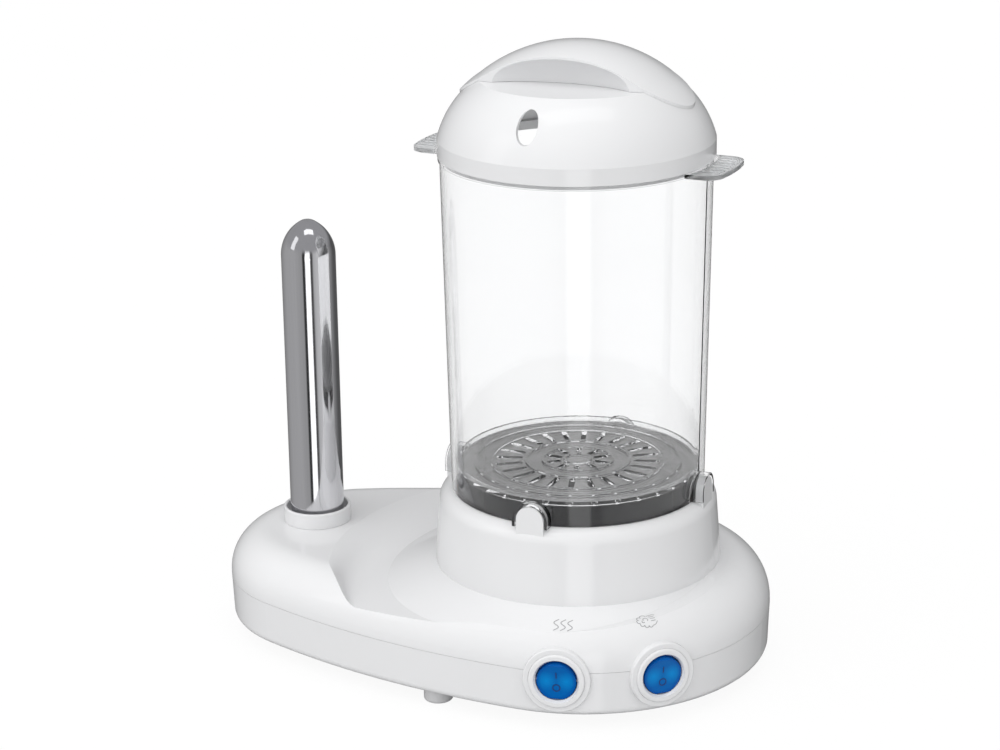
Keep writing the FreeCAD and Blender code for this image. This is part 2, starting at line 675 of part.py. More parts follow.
tip_flat = "3"
tip_arc = f"(tip_length ^ 2 + (spike_r - {tip_flat}) ^ 2) / (2 * (spike_r - {tip_flat}))"
spike_blank = turned("spike_blank", [
    ("spike_r - spike_wall", "spike_low"), ("flange_r", "spike_low"),
    ("flange_r", "spike_low + flange_thick"), ("spike_r - neck_step", "spike_low + flange_thick"),
    ("spike_r - neck_step", "neck_top"), ("spike_r", "neck_top"),
    ("spike_r", "spike_top - tip_length"), (tip_flat, "spike_top", tip_arc, 1),
    ("0", "spike_top"), ("0", "spike_top - 2 * spike_wall"),
    ("spike_r - spike_wall", "spike_top - tip_length"),
], spot("spike_x"))
keep(cut("spike", spike_blank, tower_rods("spike_flange_holes", "screw_r + seat_gap", "shoulder_z",
                                          "spike_seat_z + wall", SPIKE_SCREWS)))
ring_place = FreeCAD.Placement(
    V(size("spike_x"), 0, size("ring_z")), FreeCAD.Rotation(V(0, 1, 0), -size("top_fall")))
keep(turned("spike_ring", [
    ("spike_r + lift_gap", "seat_gap"), ("ring_r", "seat_gap"), ("ring_r", "ring_rise - 0.8"),
    ("ring_r - 0.8", "ring_rise", "0.8", 1), ("ring_r - ring_wall + 0.4", "ring_rise"),
    ("ring_r - ring_wall", "ring_rise - 0.4"), ("ring_r - ring_wall", "ring_rise / 3"),
    ("spike_r + lift_gap", "ring_rise / 3"),
], ring_place))
heater_r = "(spike_r * 0.4)"
keep(turned("spike_insulator", [
    ("0", "spike_low"), ("spike_r - spike_wall - seat_gap", "spike_low"),
    ("spike_r - spike_wall - seat_gap", "spike_low + 10"), (f"{heater_r} + seat_gap", "spike_low + 10"),
    (f"{heater_r} + seat_gap", "spike_low + 3"), ("0", "spike_low + 3"),
], spot("spike_x")))
keep(turned("spike_heater", [
    ("0", "spike_low + 3 + seat_gap"), (heater_r, "spike_low + 3 + seat_gap"),
    (heater_r, "spike_top - 2 * tip_length"), ("0", "spike_top - 2 * tip_length"),
], spot("spike_x")))


# ---- dish, seal and steam heater under the vessel --------------------------------------------

bend = "(dish_flange_z - dish_floor_z)"
keep(turned("heating_dish", [
    ("0", "dish_floor_z - stud_length"), ("stud_r", "dish_floor_z - stud_length"),
    ("stud_r", "dish_floor_z"), (f"dish_r - {bend}", "dish_floor_z"),
    ("dish_r", "dish_flange_z", bend, 1), ("dish_flange_r", "dish_flange_z"),
    ("dish_flange_r", "dish_flange_z + dish_wall"), ("dish_r", "dish_flange_z + dish_wall"),
    ("dish_r", "dish_rim_z"), ("dish_r - dish_wall", "dish_rim_z"),
    ("dish_r - dish_wall", "dish_flange_z"),
    (f"dish_r - {bend}", "dish_floor_top", f"{bend} - dish_wall", -1), ("0", "dish_floor_top"),
], spot("tower_x")))
keep(turned("dish_seal", [
    ("dish_r + lift_gap", "seal_z"), ("dish_flange_r", "seal_z"),
    ("dish_flange_r", "collar_z - wall - seat_gap"),
    ("dish_r + lift_gap", "collar_z - wall - seat_gap"),
], spot("tower_x")))
clamp_ring = turned("clamp_ring_blank", [
    ("dish_r + lift_gap", "plate_top - plate_thick"),
    ("clamp_screw_at + clamp_head_r", "plate_top - plate_thick"),
    ("clamp_screw_at + clamp_head_r", "plate_top"), ("dish_r + lift_gap", "plate_top"),
], spot("tower_x"))
keep(cut("dish_clamp_ring", clamp_ring, clamp_holes))

gap_half = 20  # degrees on each side of the heater's open ends
ring_turn = FreeCAD.Rotation(Z_AXIS, 180 + gap_half)
coil = doc.addObject("Part::Torus", "element_coil")
coil.setExpression("Radius1", bound("element_r"))
coil.setExpression("Radius2", bound("element_tube_r"))
coil.Angle3 = 360 - 2 * gap_half
coil.Placement = FreeCAD.Placement(V(size("tower_x"), 0, size("element_z")), ring_turn)
ENDS = [(f"tower_x - element_r * cos({gap_half} deg)", f"{sign} * element_r * sin({gap_half} deg)")
        for sign in (-1, 1)]
legs = tower_rods("element_legs", "element_tube_r", "element_z - 12", "element_z", ENDS)
pins = tower_rods("element_pins", "element_tube_r / 3", "element_z - 17", "element_z - 12", ENDS)
keep(joined("steam_element", [coil, legs, pins]))
bar = "element_r + element_tube_r"
half_bar = "2 * element_tube_r"
plate_spot = spot("tower_x", 0, "clamp_top - plate_thick")
plate = padded("clamp_plate", [slab(half_bar, bar)], "plate_thick", plate_spot)
arm = padded("clamp_arm", [slab("element_r - 2 * element_tube_r", half_bar)], "plate_thick",
             plate_spot)
stud_hole = rod("stud_hole", "stud_r + seat_gap", "wall * 4", "tower_x", 0, "clamp_top - 2 * wall")
keep(cut("element_clamp", joined("clamp_cross", [plate, arm]), stud_hole))


def hexagon(flat):
    """A six-sided outline by its half width across the flats."""
    far = f"({flat}) / cos(30 deg)"
    return [(f"{far} * cos({turn} deg)", f"{far} * sin({turn} deg)") for turn in range(0, 360, 60)]


nut_height = "1.6 * stud_r"
keep(padded("clamp_nut", [hexagon("2 * stud_r"), ("stud_r + seat_gap / 2",)], nut_height,
            spot("tower_x", 0, f"clamp_top - plate_thick - seat_gap - {nut_height}")))
body_r, cap_r = "2.1 * element_tube_r", "2.5 * element_tube_r"
cap_z = "dish_floor_z - element_tube_r"
keep(turned("thermostat", [
    ("0", "clamp_top + seat_gap"), (body_r, "clamp_top + seat_gap"), (body_r, cap_z),
    (cap_r, cap_z), (cap_r, "dish_floor_z - seat_gap"), ("0", "dish_floor_z - seat_gap"),
], spot("tower_x + element_r / 2")))
lying = FreeCAD.Rotation(V(1, 0, 0), -90)
keep(rod("thermal_fuse", "element_tube_r", "4 * element_tube_r", "tower_x - element_r / 2",
         "-2 * element_tube_r", "element_z", lying))


# ---- mains side: bushing, clamp, terminal block and inner leads ------------------------------

keep(turned("cord_bushing", [
    ("bushing_bore", "-3 * wall"), ("bushing_r + 1.5", "-3 * wall"), ("bushing_r + 1.5", "-1.6 * wall"),
    ("bushing_r", "-1.6 * wall"), ("bushing_r", "seat_gap"), ("bushing_flange_r", "seat_gap"),
    ("bushing_flange_r", "bushing_flange - 1.5"),
    ("bushing_flange_r - 1.5", "bushing_flange", "1.5", 1), ("bushing_bore", "bushing_flange"),
], at_wall(180, size("tower_end_r"), "bushing_z")))
clamp_half = "(cord_clamp_pitch / 2 + post_r + 1)"
cord_bar = padded("cord_bar", [slab(clamp_half, "post_r + 1")], "6",
                  spot("arc_x", "cord_clamp_y", "block_z + seat_gap"))
cord_groove = rod("cord_groove", "bushing_bore", "4 * post_r", "arc_x",
                  "cord_clamp_y - 2 * post_r", "block_z", lying)
bar_holes = tower_rods("bar_holes", "clamp_screw_r + seat_gap", "block_z", "parting_z", POSTS)
keep(cut("cord_clamp", cord_bar, joined("cord_bar_cuts", [cord_groove, bar_holes])))
screws("cord_clamp_screws", POSTS[2:], "block_z + 6 + 2 * seat_gap", "9", "clamp_screw_r",
       "clamp_head_r", tip_up=False)
block_blank = padded("block_blank", [slab("block_pitch / 2 + post_r + 1", "block_half")],
                     "block_height", spot("block_x", "block_y", "block_z + seat_gap"))
POLES = [f"block_x + {step} * block_pole_pitch" for step in (-1, 0, 1)]
pole_bores = joined("pole_bores", [
    rod(f"pole_bore_{number}", "lead_r + 2 * seat_gap", "3 * block_half", x, "block_y - 1.5 * block_half",
        "block_wire_z", lying)
    for number, x in enumerate(POLES)
])
keep(cut("terminal_block", block_blank, joined("block_cuts", [pole_bores, bar_holes])))
screws("block_screws", POSTS[:2], "block_z + block_height + 2 * seat_gap", "2 * block_half", "clamp_screw_r",
       "clamp_head_r", tip_up=False)


def lead(name, route):
    """A round wire through a list of points: straight runs joined by tangent arcs, each arc as
    large as its two runs allow."""
    points = [V(*point) for point in route]
    edges = []
    start = points[0]
    for before, corner, after in zip(points, points[1:], points[2:]):
        come, leave = (corner - before), (after - corner)
        reach = 0.45 * min(come.Length, leave.Length)
        come.normalize()
        leave.normalize()
        enter, exit_point = corner - come * reach, corner + leave * reach
        radius = reach / math.tan(come.getAngle(leave) / 2)
        inward = (leave - come).normalize()
        middle = corner + inward * (math.hypot(radius, reach) - radius)
        edges.append(Part.LineSegment(start, enter).toShape())
        edges.append(Part.Arc(enter, middle, exit_point).toShape())
        start = exit_point
    edges.append(Part.LineSegment(start, points[-1]).toShape())
    path = Part.Wire(edges)
    ring = Part.Wire([Part.makeCircle(size("lead_r"), points[0], points[1] - points[0])])
    made = doc.addObject("Part::Feature", name)
    made.Label = name
    made.Shape = path.makePipeShell([ring], True, False)
    return keep(made)


def switch_point(label, back, side, up):
    """A point behind a switch: back from the wall, along it and up."""
    return at_wall(SWITCH_TURNS[label], size("tower_end_r"), "switch_z").multVec(
        V(size(side), size(up), -size(back)))


def pole_point(number, out="seat_gap", height="block_wire_z"):
    """A point in front of one of the terminal block's poles."""
    return V(size(POLES[number]), size(f"block_y - block_half - {out}"), size(height))


def between(start, end, *stops):
    """Points between two others. A stop is (share of the way, share to the left, height), the
    height counted in walls above the pan's underside."""
    run = V(end.x - start.x, end.y - start.y, 0)
    left = V(-run.y, run.x, 0)
    points = []
    for share, aside, walls in stops:
        point = start + run * share + left * aside
        points.append(V(point.x, point.y, size(f"pan_z + {walls} * wall")))
    return points


pole_out = "2.4 * block_half"
tab_end = "barrel_depth + tab_out + seat_gap"
tab_out_end = f"{tab_end} + tab_out + lead_r"
spike_end = [V(size("spike_x") + side, 0, size("spike_low - seat_gap")) for side in (5, -5)]
pin_ends = [V(size(x), size(y), size("element_z - 17 - seat_gap")) for x, y in ENDS]
heat_in = switch_point("heat", tab_end, "0", "0")
heat_out = switch_point("heat", tab_end, "0", "-contact_reach")
steam_out = switch_point("steam", tab_end, "0", "0")
heat_near = switch_point("heat", tab_out_end, "0", "0")
heat_near_low = switch_point("heat", tab_out_end, "0", "-contact_reach")
steam_near = switch_point("steam", tab_out_end, "0", "0")
pole_near = [pole_point(number, pole_out) for number in range(3)]
lead("lead_heat_switch", [
    pole_point(1), pole_near[1],
    *between(pole_near[1], heat_near, (0.36, -0.1, 6.4), (0.767, -0.038, 7.6)),
    heat_near, heat_in])
lead("lead_spike_live", [
    heat_out, heat_near_low,
    *between(heat_near_low, spike_end[0], (0.216, 0.013, 4.8), (0.497, 0.032, 4.8),
             (0.785, 0.031, 5.6), (0.957, 0.006, 8)),
    spike_end[0] - V(0, 0, 10), spike_end[0]])
lead("lead_spike_neutral", [
    pole_point(0), pole_near[0],
    *between(pole_near[0], spike_end[1], (0.238, 0.029, 4.4), (0.574, -0.016, 4.8),
             (0.85, -0.039, 6.4)),
    spike_end[1] - V(0, 0, 12), spike_end[1]])
lead("lead_steam_switch", [
    steam_out, steam_near,
    *between(steam_near, pin_ends[0], (0.405, -0.017, 12), (0.725, -0.02, 15.2)),
    pin_ends[0] - V(0, 0, 14), pin_ends[0]])
lead("lead_steam_neutral", [
    pole_point(2), pole_near[2], *between(pole_near[2], pin_ends[1], (0.6, 0.165, 10.4)),
    pin_ends[1] - V(0, 0, 18), pin_ends[1]])


# ---- rocker switches -------------------------------------------------------------------------

def turned_at(place, formula_z, lean):
    """A placement on a switch's axis at a depth, leaned about the rocker's pin."""
    shift = FreeCAD.Placement(V(0, 0, size(formula_z)), FreeCAD.Rotation(V(1, 0, 0), lean))
    return place.multiply(shift)


def cross_rod(name, radius, half, place, depth):
    """A rod along the rocker's pin axis."""
    made = doc.addObject("Part::Cylinder", name)
    made.setExpression("Radius", bound(radius))
    made.setExpression("Height", bound(f"2 * ({half})"))
    along = FreeCAD.Placement(V(-size(half), 0, size(depth)), FreeCAD.Rotation(V(0, 1, 0), 90))
    made.Placement = place.multiply(along)
    return made


def switch(label, turn):
    place = at_wall(turn, size("tower_end_r"), "switch_z")
    bore = "(rocker_r + rocker_gap)"
    floor = "(0 - barrel_depth + barrel_wall)"
    shell = turned(f"{label}_barrel", [
        ("0", "0 - barrel_depth"), ("barrel_r", "0 - barrel_depth"), ("barrel_r", "seat_gap"),
        ("bezel_r", "seat_gap"), ("bezel_r", "bezel_thick - bezel_edge"),
        ("bezel_r - bezel_edge", "bezel_thick", "bezel_edge", 1),
        (f"{bore} + bezel_funnel - bezel_edge / 2", "bezel_thick"),
        (bore, "bezel_thick - bezel_funnel"), (bore, floor), ("0", floor),
    ], place)
    pin_hole = cross_rod(f"{label}_pin_hole", "pin_r + seat_gap / 2", "bezel_r", place, "-pivot_depth")
    slots = padded(f"{label}_slots", [
        slab("tab_wide / 2 + seat_gap", "tab_thin / 2 + seat_gap", "0", y)
        for y in ("0", "contact_reach", "-contact_reach")
    ], "2 * barrel_wall", turned_at(place, "0 - barrel_depth - barrel_wall / 2", 0))
    keep(cut(f"{label}_switch_body", shell, joined(f"{label}_body_cuts", [pin_hole, slots])))
    pin = cross_rod(f"{label}_rocker_pin", "pin_r", "barrel_r - 2 * seat_gap", place, "-pivot_depth")
    keep(pin)

    rest = turned_at(place, "-pivot_depth", size("rocker_lean"))
    skin = turned(f"{label}_rocker_round", [
        ("0", "face_rise"), ("0", "face_rise + 2"), ("rocker_r", "face_rise + 2"),
        ("rocker_r", "-rocker_skirt"), ("rocker_r - rocker_wall", "-rocker_skirt"),
        ("rocker_r - rocker_wall", "face_rise - rocker_wall"), ("post_wall", "face_rise - rocker_wall"),
        ("post_wall", "-post_length"), ("plunger_r + seat_gap", "-post_length"),
        ("plunger_r + seat_gap", "-pin_r - 0.6"), ("0", "-pin_r - 0.6"),
    ], rest)
    drum = cross_rod(f"{label}_rocker_drum", "rocker_r", "rocker_r + 1", rest, "0")
    dish_cut = cross_rod(f"{label}_rocker_hollow", "face_arc", "rocker_r + 1", rest,
                         "face_rise + face_arc")
    bore_cut = cross_rod(f"{label}_rocker_bore", "pin_r + 0.8 * seat_gap", "rocker_r + 1", rest, "0")
    drummed = shared(f"{label}_rocker_drummed", skin, drum)
    keep(cut(f"{label}_rocker", drummed, joined(f"{label}_rocker_cuts", [dish_cut, bore_cut])))
    keep(turned(f"{label}_plunger", [
        ("0", "-pin_r - 0.6 - seat_gap"), ("0", "-post_length - plunger_out"),
        ("plunger_r", "plunger_r - post_length - plunger_out", "plunger_r", 1),
        ("plunger_r", "-pin_r - 0.6 - seat_gap"),
    ], rest))

    blade_z = "(0 - pivot_depth - post_length - plunger_out - lift_gap - blade_thick / 2)"
    blade_place = turned_at(place, blade_z, -size("blade_lean"))
    blade = padded(f"{label}_blade_strip", [slab("2.4", "contact_reach + 1.4")], "blade_thick",
                   blade_place.multiply(FreeCAD.Placement(V(0, 0, -size("blade_thick / 2")),
                                                          FreeCAD.Rotation())))
    button_at = V(0, -size("contact_reach"), -size("blade_thick / 2 + 0.7"))
    button = doc.addObject("Part::Cylinder", f"{label}_button")
    button.Radius = 1.2
    button.Height = 0.8
    button.Placement = blade_place.multiply(FreeCAD.Placement(button_at, FreeCAD.Rotation()))
    keep(joined(f"{label}_contact_blade", [blade, button]))

    low = "(0 - barrel_depth - tab_out)"
    drop = "(contact_reach * sin(blade_lean * 1 deg))"
    tops = {"0": f"{blade_z} - blade_thick / 2 - seat_gap",
            "-contact_reach": f"{blade_z} - blade_thick / 2 - 0.7 - {drop} - 2 * seat_gap",
            "contact_reach": f"{blade_z} - blade_thick / 2 - {drop} - lift_gap"}
    tabs = [
        padded(f"{label}_tab_{number}", [slab("tab_wide / 2", "tab_thin / 2", "0", y)],
               f"{top} - {low}", turned_at(place, low, 0))
        for number, (y, top) in enumerate(tops.items())
    ]
    keep(grouped(f"{label}_terminals", tabs))
    lamp_place = place.multiply(FreeCAD.Placement(V(size("lamp_x"), 0, 0), FreeCAD.Rotation()))
    keep(turned(f"{label}_lamp", [
        ("0", f"{floor} + seat_gap"), ("lamp_r", f"{floor} + seat_gap"),
        ("lamp_r", f"{floor} + lamp_rise"), ("0", f"{floor} + lamp_rise + lamp_r", "lamp_r", 1),
    ], lamp_place))


for switch_label, switch_turn in SWITCH_TURNS.items():
    switch(switch_label, switch_turn)


# ---- vessel and tray -------------------------------------------------------------------------

def ring_copies(body, count):
    """Repeats the body's last feature about its own Z axis."""
    doc.recompute()
    around = body.newObject("PartDesign::PolarPattern", body.Name + "_around")
    around.Originals = [body.Tip]
    around.Axis = (plane_of(body, "Z_Axis"), [""])
    around.Angle = 360
    around.Occurrences = count
    body.Tip = around


def tab_outline():
    """One grip tab: it starts in the vessel's wall and ends in an arc with rounded corners."""
    root_r, half, corner = "(vessel_top_r - vessel_wall / 2)", "(tab_width / 2)", "tab_corner"
    root_x = f"sqrt({root_r} ^ 2 - {half} ^ 2)"
    tip_y = f"({half} - {corner})"
    tip_x = f"sqrt(tab_reach ^ 2 - {tip_y} ^ 2)"
    return [
        (root_x, f"-{half}", root_r, -1), (f"{tip_x} - {corner}", f"-{half}"),
        (tip_x, f"-{tip_y}", corner, 1), (tip_x, tip_y, "tab_reach", 1),
        (f"{tip_x} - {corner}", half, corner, 1), (root_x, half),
    ]


def hood_outline():
    """The arch of one hood, open below: its outside and its inside half a lug's gap apart."""
    inner = "(lug_width / 2 + 2 * lift_gap)"
    outer = f"({inner} + hood_wall)"
    top = "(lug_z + 2 * lift_gap)"
    return [
        (outer, "vessel_z"), (outer, f"{top} - {inner}"),
        ("0", f"{top} + hood_wall", outer, 1), (f"-{outer}", f"{top} - {inner}", outer, 1),
        (f"-{outer}", "vessel_z"), (f"-{inner}", "vessel_z"), (f"-{inner}", f"{top} - {inner}"),
        ("0", top, inner, -1), (inner, f"{top} - {inner}", inner, -1), (inner, "vessel_z"),
    ]


vessel_wall_body = turned("vessel_wall", [
    ("vessel_foot_r - vessel_wall", "vessel_z"), ("vessel_foot_r", "vessel_z"),
    ("vessel_top_r", "vessel_top_z - tab_thick"), ("lid_r - lift_gap", "vessel_top_z - tab_thick"),
    ("lid_r - lift_gap", "vessel_top_z"), ("vessel_top_r - vessel_wall", "vessel_top_z"),
], spot("tower_x"))
hoods = new_sketch(vessel_wall_body, "XZ_Plane", lift="vessel_foot_r - vessel_wall / 2")
draw(hoods, hood_outline())
feature(vessel_wall_body, "Pad", hoods, Length="lug_out_r - vessel_foot_r + vessel_wall / 2 + lift_gap")
ring_copies(vessel_wall_body, 4)
turn_tabs = spot("tower_x", 0, "vessel_top_z - tab_thick", size("tab_turn"))
tabs = padded("vessel_tabs", [tab_outline()], "tab_thick", turn_tabs)
ring_copies(tabs, 2)
ribs = padded("tab_ribs", [slab("tab_length / 3", "0.6", "lid_r + tab_length / 2", f"{step} * 5") for step in (-3, -2, -1, 0, 1, 2, 3)],
              "tab_thick + 0.6", turn_tabs)
ring_copies(ribs, 2)
keep(joined("vessel", [vessel_wall_body, tabs, ribs]))

locator = "(dish_r - dish_wall - 2 * lift_gap)"
tray_top = "(tray_z + tray_thick)"
tray_profile = [
    ("0", "tray_z"), (f"{locator} - 1.4", "tray_z"), (f"{locator} - 1.4", "tray_z - 3"),
    (locator, "tray_z - 3"), (locator, "tray_z"), ("tray_r", "tray_z"),
    ("tray_r", f"{tray_top} + 2"), ("tray_r - 1.5", f"{tray_top} + 2"), ("tray_r - 1.5", tray_top),
]
for rib_share in (0.86, 0.72, 0.44, 0.3, 0.12):
    rib = f"tray_r * {rib_share}"
    tray_profile += [(rib, tray_top), (rib, f"{tray_top} + 1"), (f"{rib} - 1.4", f"{tray_top} + 1"),
                     (f"{rib} - 1.4", tray_top)]
tray_profile.append(("0", tray_top))
tray_blank = turned("tray_blank", tray_profile, spot("tower_x"))
long_slots = padded("tray_long_slots", [stadium("tray_r * 0.11", "1.6", "tray_r * 0.57")],
                    "vessel_z", spot("tower_x", 0, "dish_floor_z"))
ring_copies(long_slots, 24)
short_slots = padded("tray_short_slots", [stadium("tray_r * 0.065", "1.6", "tray_r * 0.2")],
                     "vessel_z", spot("tower_x", 0, "dish_floor_z"))
ring_copies(short_slots, 10)
keep(cut("steam_tray", tray_blank, joined("tray_slots", [long_slots, short_slots])))


# ---- lid and its band handle -----------------------------------------------------------------

def dome_x(rise, inset):
    """Half width of the lid's domed side at a height, moved inwards by inset."""
    return f"lid_r - dome_in + sqrt((dome_arc - {inset}) ^ 2 - ({rise} + dome_drop) ^ 2)"


def rim_corner(inset):
    """Where the lid's upright rim turns into its domed side, moved inwards by inset."""
    return (f"lid_r - {inset}",
            f"sqrt((dome_arc - {inset}) ^ 2 - (dome_in - {inset}) ^ 2) - dome_drop")


lid_place = spot("tower_x", 0, "lid_z")
lid_blank = turned("lid_blank", [
    ("plug_r", "0"), ("lid_r", "0"), ("lid_r", "rim_rise"), ("ledge_r", "ledge_rise", "dome_arc", 1),
    ("0", "ledge_rise"), ("0", "ledge_rise - lid_wall"),
    (dome_x("ledge_rise - lid_wall", "lid_wall"), "ledge_rise - lid_wall"),
    (*rim_corner("lid_wall"), "dome_arc - lid_wall", -1), ("lid_r - lid_wall", "lid_wall"),
    ("plug_r - 1.6", "lid_wall"), ("plug_r - 1.6", "-plug_depth"), ("plug_r", "-plug_depth"),
], lid_place)
vent = doc.addObject("Part::Ellipsoid", "lid_vent")
vent.setExpression("Radius1", bound("vent_height / 2"))
vent.setExpression("Radius2", bound("vent_width / 2"))
vent.setExpression("Radius3", bound("lid_r / 3"))
vent.Angle1 = -90
vent.Placement = spot("tower_x - 3", "-lid_r * 0.88", "lid_z + vent_rise")
LID_SCREWS = [("tower_x - lid_post_x", "0"), ("tower_x + lid_post_x", "0")]
lid_holes = tower_rods("lid_holes", "screw_r + seat_gap", "lid_z + ledge_rise - 2 * lid_wall",
                       "lid_z + ledge_rise + 10", LID_SCREWS)
keep(cut("lid_shell", lid_blank, joined("lid_cuts", [vent, lid_holes])))


def crown(name, grow):
    """The lid's full rounded form, moved outwards by grow. It is turned in two halves, whose
    faces then meet at the top instead of closing around it."""
    part = f"({grow}) / crown_arc"
    steps = [
        ("0", "0"), (f"lid_r + {grow}", "0"), rim_corner(f"(0 - {grow})"),
        (f"ledge_r * (1 + {part})", f"ledge_rise + (crown_arc - lid_rise + ledge_rise) * {part}",
         f"dome_arc + {grow}", 1),
        ("0", f"lid_rise + {grow}", f"crown_arc + {grow}", 1),
    ]
    return joined(name, [
        turned(f"{name}_{side}", steps, spot("tower_x", 0, "lid_z", turn), angle=180)
        for side, turn in (("left", 90), ("right", -90))
    ])


core = turned("lid_core", [
    ("0", "0"), ("lid_r + seat_gap", "0"), rim_corner("(0 - seat_gap)"),
    (dome_x("ledge_rise + seat_gap", "-seat_gap"), "ledge_rise + seat_gap",
     "dome_arc + seat_gap", 1),
    ("0", "ledge_rise + seat_gap"),
], lid_place)
band = padded("band_form", [stadium("band_reach", "band_half")], "lid_rise * 1.1", lid_place)
band_skin = cut("band_skin", crown("band_crown", "band_proud"), core)
band_blank = shared("band_blank", band_skin, band)
grips = []
for side in (-1, 1):
    grip = doc.addObject("Part::Ellipsoid", f"finger_grip_{side + 2}")
    grip.setExpression("Radius1", bound("(lid_rise - ledge_rise) * 0.96"))
    grip.setExpression("Radius2", bound("band_half * 1.84"))
    grip.setExpression("Radius3", bound("band_half * 0.92"))
    grip.Angle1 = -90
    grip.Placement = spot("tower_x", f"{side} * band_half * 1.52", "lid_z + ledge_rise")
    grips.append(grip)
pocket = shared("band_pocket_full", crown("pocket_crown", "-lid_wall"),
                padded("pocket_form", [stadium("band_half * 1.75", "band_half * 0.42")],
                       "lid_rise", spot("tower_x", 0, "lid_z + ledge_rise - wall")))
posts = tower_rods("band_posts", "boss_r", "lid_z + ledge_rise - wall", "lid_z + lid_rise + wall",
                   LID_SCREWS)
pocket_cut = cut("band_pocket", pocket, posts)
keep(cut("lid_handle", band_blank, joined("band_cuts", grips + [pocket_cut, lid_holes])))
screws("lid_screws", LID_SCREWS, "lid_z + ledge_rise - lid_wall - seat_gap", "lid_wall + 8")


# ---- checks and files ------------------------------------------------------------------------

doc.recompute()
for made in doc.Objects:
    if {"Invalid", "Error"} & set(made.State):
        raise RuntimeError(f"{made.Name} did not build: {made.State}")
for made in nodes:
    if made.Shape.isNull() or not made.Shape.isValid() or not made.Shape.Solids:
        raise RuntimeError(f"{made.Label} is not a sound solid")
os.makedirs("parts", exist_ok=True)
for made in nodes:
    made.Shape.exportStep(f"parts/{made.Label}.step")
print(len(nodes), "pieces written")
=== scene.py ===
# %% [markdown]
# # Hot dog toaster
# This lesson dresses a finished set of solids for a hot dog toaster: a white egg-shaped base, a
# clear vessel that steams sausages, and a steel spike that toasts the inside of a roll. The
# solids already have the right sizes and places, so no shape is moved here. What is left to do is
# the light, the camera, the finish of every surface, and the thin printed marks.

# %% Load the solids
import json
import math

import bmesh
import bpy
from mathutils import Matrix, Vector
from mathutils.bvhtree import BVHTree


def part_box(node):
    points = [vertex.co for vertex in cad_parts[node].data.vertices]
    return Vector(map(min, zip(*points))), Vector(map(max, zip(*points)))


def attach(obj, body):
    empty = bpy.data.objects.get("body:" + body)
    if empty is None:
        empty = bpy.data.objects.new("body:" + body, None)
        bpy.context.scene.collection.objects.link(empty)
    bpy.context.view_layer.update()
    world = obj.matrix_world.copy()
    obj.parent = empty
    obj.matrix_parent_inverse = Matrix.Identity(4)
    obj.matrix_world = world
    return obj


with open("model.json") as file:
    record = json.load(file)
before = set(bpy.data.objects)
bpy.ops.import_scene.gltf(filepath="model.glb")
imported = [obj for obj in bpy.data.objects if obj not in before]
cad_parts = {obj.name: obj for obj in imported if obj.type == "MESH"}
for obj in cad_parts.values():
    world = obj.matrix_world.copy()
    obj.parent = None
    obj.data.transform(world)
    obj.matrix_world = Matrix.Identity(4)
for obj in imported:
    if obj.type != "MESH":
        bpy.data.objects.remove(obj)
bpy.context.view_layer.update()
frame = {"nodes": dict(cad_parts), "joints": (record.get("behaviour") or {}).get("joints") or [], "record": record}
nodes = frame["nodes"]
MM, UPWARD = 0.001, Vector((0, 0, 1))

# %% [markdown]
# ## Smooth or crisp
# A solid arrives as flat triangles. A moulded shell should look round where it curves and crisp
# where two faces meet at an angle. Shading by angle does both at once: faces that meet at less
# than the limit share one smooth normal, and the others keep an edge.

# %% Shade by angle
CRISP_ANGLE = math.radians(32)


def shade(piece):
    """Smooth where the surface curves and crisp at real edges."""
    for polygon in piece.data.polygons:
        polygon.use_smooth = True
    piece.data.set_sharp_from_angle(angle=CRISP_ANGLE)


print("crisp edges above", round(math.degrees(CRISP_ANGLE)), "degrees")

# %% [markdown]
# ## Camera
# Product pictures are taken from some distance with a long lens, so that upright edges stay almost
# upright. The camera looks down a little from the front right. It is placed by its target, its
# bearing and its distance, which are easier to judge than a bare position. A small roll turns the
# picture by less than a degree.

# %% Place the camera
TARGET = Vector((11.2, -15.7, 164.8)) * MM
BEARING, HEIGHT_ANGLE, ROLL = math.radians(21.73), math.radians(18.43), math.radians(-0.78)
DISTANCE, LENS, SENSOR = 1.481, 97.35, 36
CLIP_NEAR, CLIP_FAR = 0.01, 50


def placement(along, up, out, spot):
    """A matrix from its three directions and its origin."""
    return Matrix(tuple(zip(along, up, out, spot)) + ((0, 0, 0, 1),))


def place_camera():
    back = Vector((
        math.sin(BEARING) * math.cos(HEIGHT_ANGLE),
        -math.cos(BEARING) * math.cos(HEIGHT_ANGLE),
        math.sin(HEIGHT_ANGLE),
    ))
    right = UPWARD.cross(back).normalized()
    up = back.cross(right)
    right, up = (
        right * math.cos(ROLL) + up * math.sin(ROLL),
        up * math.cos(ROLL) - right * math.sin(ROLL),
    )
    data = bpy.data.cameras.new("camera")
    data.lens = LENS
    data.sensor_width = SENSOR
    data.clip_start, data.clip_end = CLIP_NEAR, CLIP_FAR
    camera = bpy.data.objects.new("camera", data)
    bpy.context.collection.objects.link(camera)
    camera.matrix_world = placement(right, up, back, TARGET + back * DISTANCE)
    bpy.context.scene.camera = camera
    return camera


camera = place_camera()
print("camera at", [round(value, 3) for value in camera.matrix_world.translation])

# %% [markdown]
# ## Floor
# The floor is one large sheet that is bent up far behind, so that there is no horizon.

# %% Build the floor
FLOOR_HALF, FLOOR_TOP = 3.0, 3.0
BEND_START, BEND_R, BEND_STEPS = 1.6, 1.2, 12


